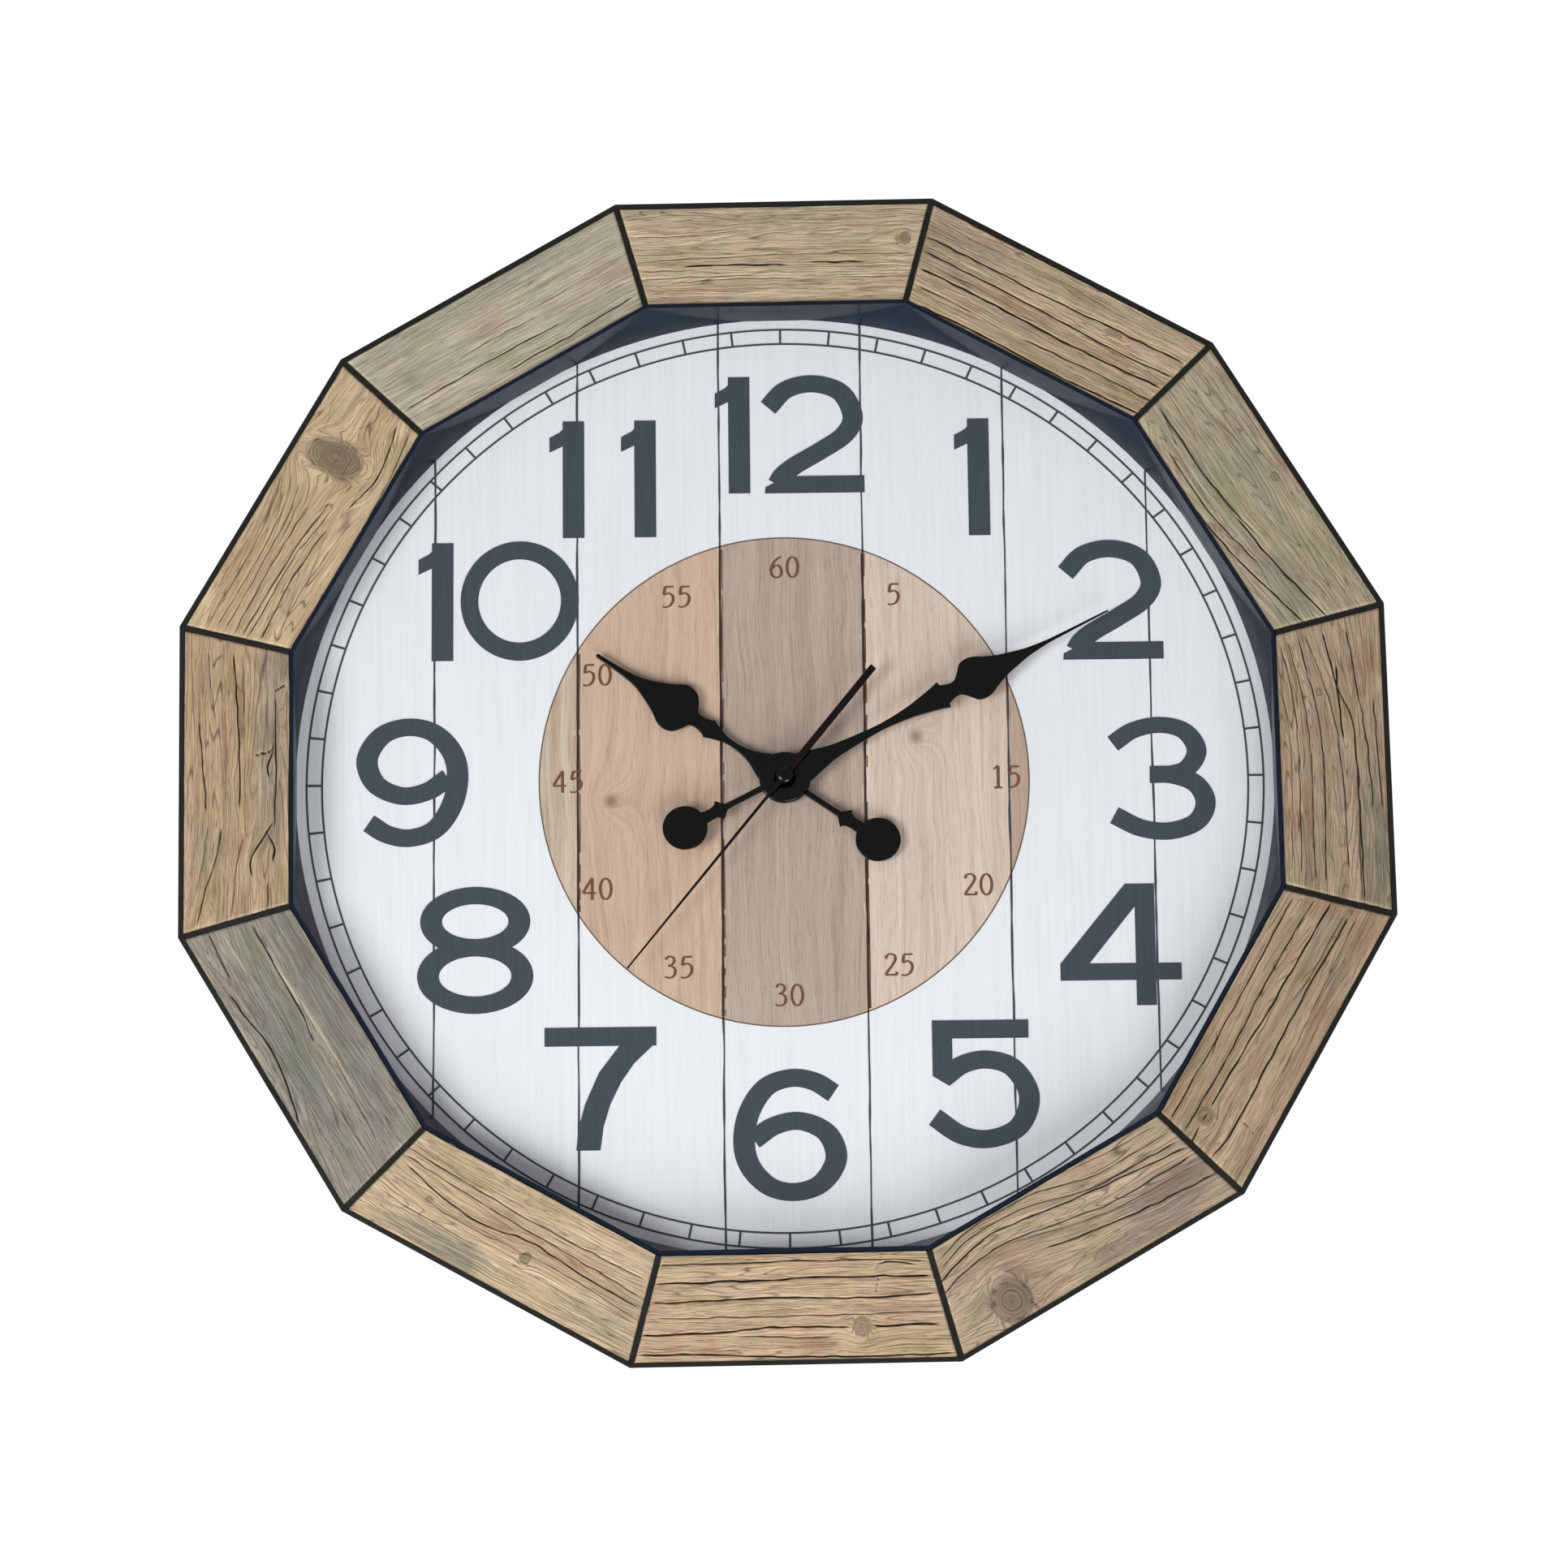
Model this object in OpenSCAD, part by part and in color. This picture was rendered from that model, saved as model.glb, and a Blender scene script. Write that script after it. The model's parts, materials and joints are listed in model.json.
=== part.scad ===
// Twelve-sided wall clock with weathered wood panels and a quartz movement.
// Every sub-part is laid out looking at the clock's face: x to the right, y up
// and z out of the wall. stand_up() then turns the whole clock upright, with the
// wall plane at y = 0 and the face towards -Y.

/* [Frame] */
// Width of the frame across two opposite flat sides
frame_across_flats = 610; // [600:1:640]
// Width of the opening across two opposite flat sides
opening_across_flats = 494; // [493:0.5:498]
// Depth from the wall to the front lip of the bezel
frame_depth = 47; // [46:0.5:52]
// Width of the black strip left showing at the outer edge
rim_width = 2.4; // [2:0.1:4]
// How far the outer side leans in from the front to the back of the ring
side_lean = 2; // [0:0.1:2.2]
// Width of the black lip around the opening
lip_width = 2; // [1.6:0.1:3]
// Width of the black rib between two panels
rib_width = 2.6; // [2:0.1:4]
// How far the panel faces fall from the inner to the outer edge
panel_fall = 2.2; // [0:0.1:3]

/* [Dial] */
// Radius of the round opening at the dial
dial_opening_radius = 247.5; // [240:0.5:248]
// Radius of the same opening at the front lip, where it flares into the corners
flare_radius = 256; // [256:0.5:260]
// Depth of the printed dial behind the front lip
dial_recess = 22.7; // [20:0.1:24]
// Thickness of the dial board
board_thickness = 4; // [3:0.5:5]
// Thickness of the printed sheet
print_thickness = 0.3; // [0.2:0.05:0.5]

/* [Hands] */
// Length of the minute hand from the arbor to its tip
minute_hand_length = 185; // [170:1:200]
// Length of the hour hand from the arbor to its tip
hour_hand_length = 116; // [105:1:125]
// Length of the second hand from the arbor to its tip
second_hand_length = 128; // [115:1:140]
// Radius of the round hub of the hour and minute hands
hand_hub_radius = 13; // [10:0.5:14]
// Minutes past the hour that the hands show
shown_minute = 10.47; // [0:0.01:59.99]
// Hour that the hands show
shown_hour = 10; // [0:1:11]
// Seconds that the second hand shows
shown_second = 36.5; // [0:0.5:59.5]

/* [Movement] */
// Side of the square movement case
case_side = 56; // [56:0.5:58]
// Depth of the movement case
case_depth = 16; // [16:0.1:16.4]

/* [Hidden] */
$fn = 96;
SIDES = 12;
HALF_SIDE_ANGLE = 180 / SIDES;

// Frame heights, measured out from the wall
outer_apothem = frame_across_flats / 2;
opening_apothem = opening_across_flats / 2;
lip_apothem = opening_apothem + lip_width;
fit_gap = 0.3;
dial_front = frame_depth - dial_recess;
board_front = dial_front - print_thickness;
board_back = board_front - board_thickness;
base_back = 36;
base_front = 39;
panel_inner_top = frame_depth - 0.4;
panel_outer_top = panel_inner_top - panel_fall;
rib_drop = 0.5;
bezel_flange_back = 33;
bezel_flange_width = 8;

// Rear housing: a round drum that holds the frame off the wall
drum_inner_radius = 252;
drum_outer_radius = 255;
drum_lip_radius = 236;
drum_lip_height = 2.5;
drum_flange_radius = 279;
drum_flange_height = 3;
drum_screw_circle = 272;
frame_boss_radius = 5;

// Screws
frame_screw_radius = 1.7;
frame_screw_head_radius = 3.6;
dial_screw_radius = 1.15;
dial_screw_head_radius = 2.3;
dial_screw_circle = 249.3;
dial_screw_count = 6;
screw_gap = 0.06;

// Hanger, on a block at the top of the drum's rear lip
hanger_plate_w = 66;
hanger_plate_h = 26;
hanger_plate_thickness = 1.4;
hanger_plate_back = 0.1;
hanger_plate_bottom = 214;
keyhole_radius = 4.5;
keyhole_slot_width = 4.2;
keyhole_y = 222;
keyhole_slot_top = 232;
hanger_screw_x = 24;
hanger_screw_y = 227;
hanger_screw_radius = 1.5;
hanger_screw_head_radius = 2.9;
hanger_block_front = 8;
hanger_block_top = hanger_plate_bottom + hanger_plate_h + 1;

// Movement case, heights from the wall
case_front = board_back - 0.8;
case_back = case_front - case_depth;
case_wall = 1.2;
cover_thickness = 1.5;
cover_front = case_back + cover_thickness;
case_inner_front = case_front - case_wall;
case_inner_half = case_side / 2 - case_wall;
bay_wall_top = -10.2;
bay_top = bay_wall_top - case_wall;
battery_radius = 7.25;
battery_body_length = 49.5;
battery_nub_length = 1;
battery_y = (bay_top - case_inner_half) / 2;
battery_z = case_inner_front - 0.15 - battery_radius;

// Bushing, nut and washer that clamp the movement to the board
bushing_outer_radius = 3.9;
bushing_hole_radius = 2.62;
washer_radius = 8;
washer_thickness = 0.6;
nut_across_flats = 11;
nut_height = 2;
board_hole_radius = 4.3;

// Concentric arbors at the centre, with running clearances
hour_tube_radius = 2.55;
hour_tube_hole = 1.8;
minute_tube_radius = 1.72;
minute_tube_hole = 0.58;
second_arbor_radius = 0.5;
wheel_arbor_radius = 0.45;
motion_arbor_radius = 0.8;
pivot_gap = 0.05;

// Hand heights above the dial
hand_thickness = 0.8;
hour_hand_z = dial_front + 3.6;
minute_hand_z = dial_front + 6.9;
second_hand_z = dial_front + 9.7;
second_hand_thickness = 0.5;
hour_tube_top = hour_hand_z + hand_thickness;
minute_tube_top = minute_hand_z + hand_thickness;
second_arbor_top = second_hand_z + 1.4;
tail_disc_radius = 11.4;
tail_disc_distance = 57;

minute_angle = 6 * shown_minute;
hour_angle = 30 * shown_hour + minute_angle / 12;
second_angle = 6 * shown_second;

// Wheel train. A pinion of eight leaves drives each wheel.
PRESSURE_ANGLE = 25;
TOOTH_BACKLASH = 0.06;
ADDENDUM = 0.8;
DEDENDUM = 1.1;
pinion_leaves = 8;
step_wheel_teeth = 40;
second_wheel_teeth = 48;
third_wheel_teeth = 60;
centre_wheel_teeth = 64;
cannon_leaves = 12;
motion_wheel_teeth = 36;
motion_leaves = 10;
hour_wheel_teeth = 40;

step_module = 0.38;
third_distance = 10.8;
motion_distance = 11.4;
second_pinion_module = 2 * third_distance / (pinion_leaves + third_wheel_teeth);
third_pinion_module = 2 * third_distance / (pinion_leaves + centre_wheel_teeth);
cannon_module = 2 * motion_distance / (cannon_leaves + motion_wheel_teeth);
motion_module = 2 * motion_distance / (motion_leaves + hour_wheel_teeth);
step_distance = step_module * (pinion_leaves + second_wheel_teeth) / 2;
rotor_distance = step_module * (pinion_leaves + step_wheel_teeth) / 2;

// Directions from one arbor to the next
step_bearing = 90;
rotor_bearing = 170;
third_bearing = 10;
motion_bearing = 170;
step_at = step_distance * [cos(step_bearing), sin(step_bearing)];
rotor_at = step_at + rotor_distance * [cos(rotor_bearing), sin(rotor_bearing)];
third_at = third_distance * [cos(third_bearing), sin(third_bearing)];
motion_at = motion_distance * [cos(motion_bearing), sin(motion_bearing)];

// Wheel heights above the rear cover's inner face
step_wheel_z = cover_front + 1.5;
second_wheel_z = cover_front + 3.3;
third_wheel_z = cover_front + 5.1;
centre_wheel_z = cover_front + 6.9;
train_plate_z = cover_front + 8.1;
train_plate_thickness = 1;
train_plate_front = train_plate_z + train_plate_thickness;
motion_wheel_z = train_plate_front + 0.3;
hour_wheel_z = motion_wheel_z + 1.5;
wheel_thickness = 0.8;
pivot_back = cover_front - 0.6;
pivot_front = train_plate_z + 0.7;

// Coil, stator and circuit
coil_radius = 4;
coil_at = [16, 21.7];
coil_length = 18;
coil_z = cover_front + 5.7;
stator_z = cover_front + 5.2;
stator_thickness = 1;
magnet_radius = 3.2;
magnet_z = cover_front + 3.9;
magnet_height = 3.6;
stator_hole_radius = 3.7;
plate_posts = [[-17, -7.5], [22, -7.5], [22, 11], [-22, 20]];
post_radius = 1.5;
knob_radius = 5.5;
knob_back = case_back - 0.8;

// ---------------------------------------------------------------- helpers

module stand_up() {
    rotate([90, 0, 0]) children();
}

// Regular prism with flat sides at the top, bottom, left and right
module sided_prism(apothem, z0, z1) {
    translate([0, 0, z0])
        rotate([0, 0, HALF_SIDE_ANGLE])
            cylinder(r = apothem / cos(HALF_SIDE_ANGLE), h = z1 - z0, $fn = SIDES);
}

module disc(radius, z0, z1) {
    translate([0, 0, z0]) cylinder(r = radius, h = z1 - z0);
}

module tube(outer_radius, inner_radius, z0, z1) {
    difference() {
        disc(outer_radius, z0, z1);
        disc(inner_radius, z0 - 1, z1 + 1);
    }
}

module block(low, high) {
    translate(low) cube(high - low);
}

module at_each_corner(radius) {
    for (i = [0 : SIDES - 1])
        rotate([0, 0, HALF_SIDE_ANGLE + i * 360 / SIDES]) translate([radius, 0, 0]) children();
}

// Height of the panel faces at a given apothem
function face_height(apothem) =
    panel_inner_top - panel_fall * (apothem - lip_apothem) / (outer_apothem - rim_width - lip_apothem);

// Involute function of a pressure angle, in degrees
function involute(angle) = tan(angle) * 180 / PI - angle;

// Half the angle that a tooth fills at a given radius
function tooth_half_angle(teeth, pitch_radius, radius) =
    let (base_radius = pitch_radius * cos(PRESSURE_ANGLE),
         slack = TOOTH_BACKLASH / 2 / pitch_radius * 180 / PI,
         flank_angle = radius > base_radius ? acos(base_radius / radius) : 0)
    90 / teeth - slack + involute(PRESSURE_ANGLE) - involute(flank_angle);

function polar(radius, angle) = [radius * cos(angle), radius * sin(angle)];

// Outline of a spur gear with the middle of one tooth at the angle `phase`
function gear_outline(teeth, gear_module, phase) =
    let (pitch_radius = teeth * gear_module / 2,
         root = pitch_radius - DEDENDUM * gear_module,
         tip = pitch_radius + ADDENDUM * gear_module,
         flank_foot = max(pitch_radius * cos(PRESSURE_ANGLE) + 0.02, root),
         radii = [root, flank_foot, pitch_radius, (pitch_radius + tip) / 2, tip],
         half_angles = [for (r = radii) tooth_half_angle(teeth, pitch_radius, r)])
    [for (i = [0 : teeth - 1])
        let (middle = phase + i * 360 / teeth)
        each concat(
            [for (k = [0 : 4]) polar(radii[k], middle - half_angles[k])],
            [for (k = [4 : -1 : 0]) polar(radii[k], middle + half_angles[k])])];

module gear(teeth, gear_module, phase, z0, thickness) {
    translate([0, 0, z0])
        linear_extrude(thickness) polygon(gear_outline(teeth, gear_module, phase));
}

// Phase that puts a gap where the neighbour, on the given bearing, has a tooth
function gap_phase(teeth, bearing) = bearing + 180 + 180 / teeth;

// ---------------------------------------------------------------- frame

module frame_ring() {
    color("#1b1a1c") difference() {
        union() {
            difference() {
                sided_prism(outer_apothem, base_back, panel_outer_top);
                sided_prism(outer_apothem - rim_width, base_front, panel_outer_top + 1);
                for (i = [0 : SIDES - 1]) rotate([0, 0, i * 360 / SIDES]) side_wedge();
            }
            at_each_corner(0) mitre_rib();
            at_each_corner(drum_screw_circle) disc(frame_boss_radius, bezel_flange_back, base_back + 1);
        }
        sided_prism(lip_apothem + fit_gap, base_back - 1, frame_depth);
        at_each_corner(drum_screw_circle)
            disc(frame_screw_radius + screw_gap, bezel_flange_back - 1, base_front - 0.4);
    }
}

// Wedge cut off an outer side, so that the side leans in towards the wall
module side_wedge() {
    translate([0, outer_apothem, 0])
        rotate([90, 0, 0])
            linear_extrude(2 * outer_apothem)
                polygon([
                    [outer_apothem - side_lean, base_back - 1],
                    [outer_apothem + 1, base_back - 1],
                    [outer_apothem + 1, panel_outer_top + 1],
                    [outer_apothem, panel_outer_top + 1],
                    [outer_apothem, panel_outer_top],
                    [outer_apothem - side_lean, base_back]
                ]);
}

// Rib under the joint of two panels, a little lower than their faces
module mitre_rib() {
    start = lip_apothem / cos(HALF_SIDE_ANGLE) - 1;
    end = (outer_apothem - rim_width) / cos(HALF_SIDE_ANGLE) + 1;
    translate([0, rib_width / 2, 0])
        rotate([90, 0, 0])
            linear_extrude(rib_width)
                polygon([
                    [start, base_front - 1],
                    [end, base_front - 1],
                    [end, face_height(outer_apothem - rim_width) - rib_drop],
                    [start, face_height(lip_apothem) - rib_drop]
                ]);
}

// Wood panel number i, counted clockwise from the top side
module panel(i, shade) {
    inner = lip_apothem + fit_gap;
    outer = outer_apothem - rim_width - 0.1;
    side_inset = (rib_width / 2 + 0.1) / cos(HALF_SIDE_ANGLE);
    inner_half = inner * tan(HALF_SIDE_ANGLE) - side_inset;
    outer_half = outer * tan(HALF_SIDE_ANGLE) - side_inset;
    color(shade) rotate([0, 0, 90 - i * 360 / SIDES]) intersection() {
        translate([0, outer_apothem, 0])
            rotate([90, 0, 0])
                linear_extrude(2 * outer_apothem)
                    polygon([
                        [inner, base_front],
                        [outer, base_front],
                        [outer, face_height(outer)],
                        [inner, face_height(inner)]
                    ]);
        translate([0, 0, base_front - 1])
            linear_extrude(frame_depth)
                polygon([
                    [inner, -inner_half],
                    [outer, -outer_half],
                    [outer, outer_half],
                    [inner, inner_half]
                ]);
    }
}

// Radius of the flaring opening at a given height
function opening_radius(z) =
    dial_opening_radius + (flare_radius - dial_opening_radius) * (z - dial_front) / dial_recess;

// Glossy inner wall: a cone that rises from the dial and runs into twelve flat walls
module inner_bezel() {
    color("#20242c") difference() {
        union() {
            disc(drum_inner_radius - 0.5, dial_front, bezel_flange_back + 0.5);
            sided_prism(lip_apothem, bezel_flange_back, frame_depth);
            sided_prism(lip_apothem + bezel_flange_width, bezel_flange_back, base_back);
        }
        intersection() {
            sided_prism(opening_apothem, dial_front - 1, frame_depth + 1);
            translate([0, 0, dial_front - 1])
                cylinder(r1 = opening_radius(dial_front - 1), r2 = opening_radius(frame_depth + 1),
                         h = dial_recess + 2, $fn = 180);
        }
        at_each_dial_screw() disc(dial_screw_radius + screw_gap, dial_front - 1, dial_front + 7);
    }
}

module at_each_dial_screw() {
    for (i = [0 : dial_screw_count - 1])
        rotate([0, 0, i * 360 / dial_screw_count])
            translate([dial_screw_circle, 0, 0]) children();
}

// Rear drum: a wall that holds the frame off the wall plane
module drum_wall() {
    color("#232225")
        tube(drum_outer_radius, drum_inner_radius, drum_lip_height, bezel_flange_back);
}

// Flat lip that stands against the wall, cut away for the hanger block
module rear_lip() {
    color("#232225") difference() {
        tube(drum_outer_radius, drum_lip_radius, 0, drum_lip_height);
        hanger_block_outline(-1, drum_lip_height + 1);
    }
}

// Flange around the drum that the frame is screwed to
module mounting_flange() {
    color("#232225") difference() {
        tube(drum_flange_radius, drum_outer_radius,
             bezel_flange_back - drum_flange_height, bezel_flange_back);
        at_each_corner(drum_screw_circle)
            disc(frame_screw_radius + 0.2, bezel_flange_back - 5, bezel_flange_back + 1);
    }
}

module hanger_block_outline(z0, z1) {
    block([-hanger_plate_w / 2 - 3, hanger_plate_bottom - 3, z0],
          [hanger_plate_w / 2 + 3, hanger_block_top, z1]);
}

// Block behind the hanger plate, with a window for the head of the wall screw
module hanger_block() {
    color("#232225") difference() {
        hanger_block_outline(0, hanger_block_front);
        block([-hanger_plate_w / 2 - 0.2, hanger_plate_bottom - 0.2, -1],
              [hanger_plate_w / 2 + 0.2, hanger_block_top - 0.8,
               hanger_plate_back + hanger_plate_thickness]);
        block([-11, keyhole_y - 6, -1], [11, keyhole_slot_top + 5, hanger_block_front + 1]);
        for (side = [-1, 1])
            translate([side * hanger_screw_x, hanger_screw_y, 0])
                disc(hanger_screw_radius + screw_gap, 0, hanger_block_front - 1);
    }
}

module housing_screws() {
    head_front = bezel_flange_back - drum_flange_height;
    color("#8d8f92") at_each_corner(drum_screw_circle)
        pan_screw(frame_screw_radius, frame_screw_head_radius, 2.2, head_front, base_front - 0.6);
}

// Screw driven from behind: a rounded head with a cross recess, and its shank
module pan_screw(shank_radius, head_radius, head_height, head_front, shank_end) {
    disc(shank_radius, head_front - 0.5, shank_end);
    difference() {
        translate([0, 0, head_front - head_height])
            rotate_extrude()
                polygon([
                    [0, 0],
                    [head_radius * 0.6, 0],
                    [head_radius * 0.9, head_height * 0.35],
                    [head_radius, head_height],
                    [0, head_height]
                ]);
        for (turn = [0, 90])
            rotate([0, 0, turn])
                translate([0, 0, head_front - head_height])
                    cube([head_radius, 0.7, head_height * 0.9], center = true);
    }
}

// ---------------------------------------------------------------- dial

module dial_board() {
    color("#a98963") difference() {
        disc(drum_inner_radius - 0.5, board_back, board_front);
        disc(board_hole_radius, board_back - 1, board_front + 1);
        at_each_dial_screw() disc(dial_screw_radius + 0.2, board_back - 1, board_front + 1);
    }
}

module dial_face() {
    color("#e9edf2") difference() {
        disc(drum_inner_radius - 0.7, board_front, dial_front);
        disc(board_hole_radius, board_front - 1, dial_front + 1);
        at_each_dial_screw() disc(dial_screw_radius + 0.2, board_front - 1, dial_front + 1);
    }
}

module dial_screws() {
    color("#8d8f92") at_each_dial_screw()
        pan_screw(dial_screw_radius, dial_screw_head_radius, 1.6, board_back, dial_front + 6.5);
}

// ---------------------------------------------------------------- hanger

module hanger_plate() {
    back = hanger_plate_back;
    front = hanger_plate_back + hanger_plate_thickness;
    color("#b9bbbd") difference() {
        block([-hanger_plate_w / 2, hanger_plate_bottom, back],
              [hanger_plate_w / 2, hanger_plate_bottom + hanger_plate_h, front]);
        translate([0, keyhole_y, 0]) disc(keyhole_radius, back - 1, front + 1);
        translate([0, keyhole_slot_top, 0]) disc(keyhole_slot_width / 2, back - 1, front + 1);
        block([-keyhole_slot_width / 2, keyhole_y, back - 1],
              [keyhole_slot_width / 2, keyhole_slot_top, front + 1]);
        for (side = [-1, 1])
            translate([side * hanger_screw_x, hanger_screw_y, 0]) {
                disc(hanger_screw_radius + screw_gap, back - 1, front + 1);
                countersink(hanger_screw_radius + screw_gap, hanger_screw_head_radius + screw_gap);
            }
    }
}

// Cone that a countersunk head fills, widest at the plate's rear face
module countersink(small_radius, big_radius) {
    rotate_extrude()
        polygon([
            [0, -1],
            [big_radius, -1],
            [big_radius, hanger_plate_back + 0.1],
            [small_radius, hanger_plate_back + hanger_plate_thickness],
            [0, hanger_plate_back + hanger_plate_thickness]
        ]);
}

module hanger_screws() {
    color("#8d8f92") for (side = [-1, 1])
        translate([side * hanger_screw_x, hanger_screw_y, 0]) {
            disc(hanger_screw_radius, hanger_plate_back + 1, hanger_block_front - 1.5);
            difference() {
                countersink(hanger_screw_radius, hanger_screw_head_radius);
                disc(hanger_screw_head_radius + 1, -2, hanger_plate_back + 0.1);
                for (turn = [0, 90])
                    rotate([0, 0, turn]) cube([3.2, 0.7, 2 * 0.9], center = true);
            }
        }
}

// ---------------------------------------------------------------- movement case

// Square case shell with rounded corners, open at the back
module movement_case() {
    half = case_side / 2;
    color("#26282b") difference() {
        union() {
            difference() {
                rounded_block(half, 3, cover_front, case_front);
                block([-case_inner_half, -case_inner_half, cover_front - 1],
                      [case_inner_half, case_inner_half, case_inner_front]);
            }
            block([-case_inner_half - 0.5, bay_top, cover_front],
                  [case_inner_half + 0.5, bay_wall_top, case_front - 0.5]);
            for (post = plate_posts)
                translate(post) disc(post_radius, train_plate_front, case_inner_front + 0.5);
            translate(motion_at) disc(1.8, case_inner_front - 0.6, case_inner_front + 0.5);
        }
        disc(bushing_outer_radius + pivot_gap, case_inner_front - 1, case_front + 1);
        translate(motion_at)
            disc(motion_arbor_radius + pivot_gap, case_inner_front - 2, case_inner_front + 0.4);
    }
}

module rounded_block(half, corner, z0, z1) {
    translate([0, 0, z0])
        linear_extrude(z1 - z0)
            union() {
                square([2 * half, 2 * (half - corner)], center = true);
                square([2 * (half - corner), 2 * half], center = true);
                for (x = [-1, 1], y = [-1, 1])
                    translate([x, y] * (half - corner)) circle(corner);
            }
}

// Rear cover with the opening for the battery and the hole for the setting knob
module movement_cover() {
    half = case_side / 2;
    color("#303338") difference() {
        union() {
            rounded_block(half, 3, case_back, cover_front);
            for (arbor = [[0, 0], step_at, rotor_at, third_at])
                translate(arbor) disc(1.6, cover_front - 0.5, cover_front + 0.7);
        }
        block([-case_inner_half, -case_inner_half, case_back - 1],
              [case_inner_half, bay_top, cover_front + 1]);
        translate(motion_at) disc(knob_radius + 0.6, case_back - 1, cover_front + 1);
        disc(second_arbor_radius + pivot_gap, pivot_back - 0.1, cover_front + 2);
        for (arbor = [step_at, rotor_at, third_at])
            translate(arbor)
                disc(wheel_arbor_radius + pivot_gap, pivot_back - 0.1, cover_front + 2);
    }
}

module bushing() {
    color("#b99648") difference() {
        union() {
            disc(bushing_outer_radius, case_inner_front - 1, dial_front + washer_thickness + nut_height);
            disc(6, case_inner_front - 1, case_inner_front);
        }
        disc(bushing_hole_radius, case_inner_front - 2, dial_front + 10);
    }
}

module rubber_gasket() {
    color("#2c2c2c") tube(12, board_hole_radius - 0.1, case_front, board_back);
}

module washer() {
    color("#c2a25a")
        tube(washer_radius, bushing_outer_radius + 0.2, dial_front, dial_front + washer_thickness);
}

module hex_nut() {
    nut_back = dial_front + washer_thickness;
    color("#b99648") difference() {
        translate([0, 0, nut_back])
            cylinder(r = nut_across_flats / 2 / cos(30), h = nut_height, $fn = 6);
        disc(bushing_outer_radius + pivot_gap, nut_back - 1, nut_back + nut_height + 1);
    }
}

// Plate that carries the front pivots, on posts that stand on the rear cover
module train_plate() {
    color("#d9d6c8") difference() {
        union() {
            block([-24, -9.5, train_plate_z], [24, 16.5, train_plate_front]);
            block([-24, 16, train_plate_z], [4, 22, train_plate_front]);
            for (post = plate_posts)
                translate(post) disc(post_radius, cover_front, train_plate_z + 0.5);
        }
        disc(minute_tube_radius + pivot_gap, train_plate_z - 1, train_plate_front + 1);
        translate(motion_at)
            disc(motion_arbor_radius + pivot_gap, train_plate_z - 1, train_plate_front + 1);
        for (arbor = [step_at, rotor_at, third_at])
            translate(arbor)
                disc(wheel_arbor_radius + pivot_gap, train_plate_z - 1, pivot_front + 0.1);
    }
}

// ---------------------------------------------------------------- motor and circuit

// Soft-iron circuit: a ring around the rotor and two arms to the coil's ends
module stator() {
    left = coil_at[0] - coil_length / 2;
    right = coil_at[0] + coil_length / 2;
    color("#9aa0a6") difference() {
        translate([0, 0, stator_z])
            linear_extrude(stator_thickness)
                union() {
                    translate(rotor_at) circle(6);
                    translate(rotor_at + [-2, 0]) square([4, coil_at[1] + 2 - rotor_at[1]]);
                    translate([rotor_at[0] - 2, coil_at[1] - 2]) square([left - rotor_at[0], 4]);
                    translate([rotor_at[0], 14.8]) square([right - rotor_at[0] + 1.6, 2]);
                    translate([right - 0.2, 14.8]) square([1.8, coil_at[1] + 2 - 14.8]);
                }
        translate(rotor_at) disc(stator_hole_radius, stator_z - 1, stator_z + 2);
    }
}

module coil_bobbin() {
    start = coil_at[0] - coil_length / 2;
    color("#e6e2d6") translate([start, coil_at[1], coil_z]) rotate([0, 90, 0]) {
        cylinder(r = 1.8, h = coil_length - 0.4);
        for (x = [0, coil_length - 1.4])
            translate([0, 0, x]) cylinder(r = coil_radius, h = 1);
    }
}

module coil_winding() {
    start = coil_at[0] - coil_length / 2 + 1.05;
    color("#b5682f") translate([start, coil_at[1], coil_z])
        rotate([0, 90, 0])
            difference() {
                cylinder(r = coil_radius - 0.4, h = coil_length - 2.5);
                translate([0, 0, -1]) cylinder(r = 1.85, h = coil_length);
            }
}

module circuit_board() {
    color("#2f6b3c")
        block([12, -5.2, train_plate_front], [case_inner_half - 0.4, 8.8, train_plate_front + 1]);
}

module chip_blob() {
    color("#141414") translate([19.5, 3, train_plate_front + 1])
        rotate_extrude()
            polygon([[0, 0], [3, 0], [2.7, 0.6], [1.8, 1], [0, 1.2]]);
}

module quartz_crystal() {
    color("#c9ccd0") translate([15, -3, train_plate_front + 2])
        rotate([0, 90, 0]) cylinder(r = 1, h = 6);
}

module positive_contact() {
    color("#c7c9cc")
        block([case_inner_half - 0.8, battery_y - 4, case_back + 2],
              [case_inner_half - 0.3, battery_y + 4, case_inner_front - 0.5]);
}

// Flat strip with a bowed leaf that presses on the battery
module negative_contact() {
    back = -case_inner_half + 0.3;
    color("#c7c9cc") translate([0, battery_y + 3, 0])
        rotate([90, 0, 0])
            linear_extrude(6)
                polygon([
                    [back, case_back + 2],
                    [back + 0.4, case_back + 2],
                    [back + 1.1, battery_z - 2],
                    [back + 1.1, battery_z + 2],
                    [back + 0.4, case_inner_front - 0.5],
                    [back, case_inner_front - 0.5]
                ]);
}

module battery() {
    start = -battery_body_length / 2 - 0.1;
    color("#5b6b4a") translate([start, battery_y, battery_z])
        rotate([0, 90, 0])
            union() {
                cylinder(r = battery_radius, h = battery_body_length);
                cylinder(r = 2.7, h = battery_body_length + battery_nub_length);
            }
}

// ---------------------------------------------------------------- wheel train

module rotor_magnet() {
    color("#55585c") translate(rotor_at)
        tube(magnet_radius, wheel_arbor_radius + 0.4, magnet_z, magnet_z + magnet_height);
}

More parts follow.
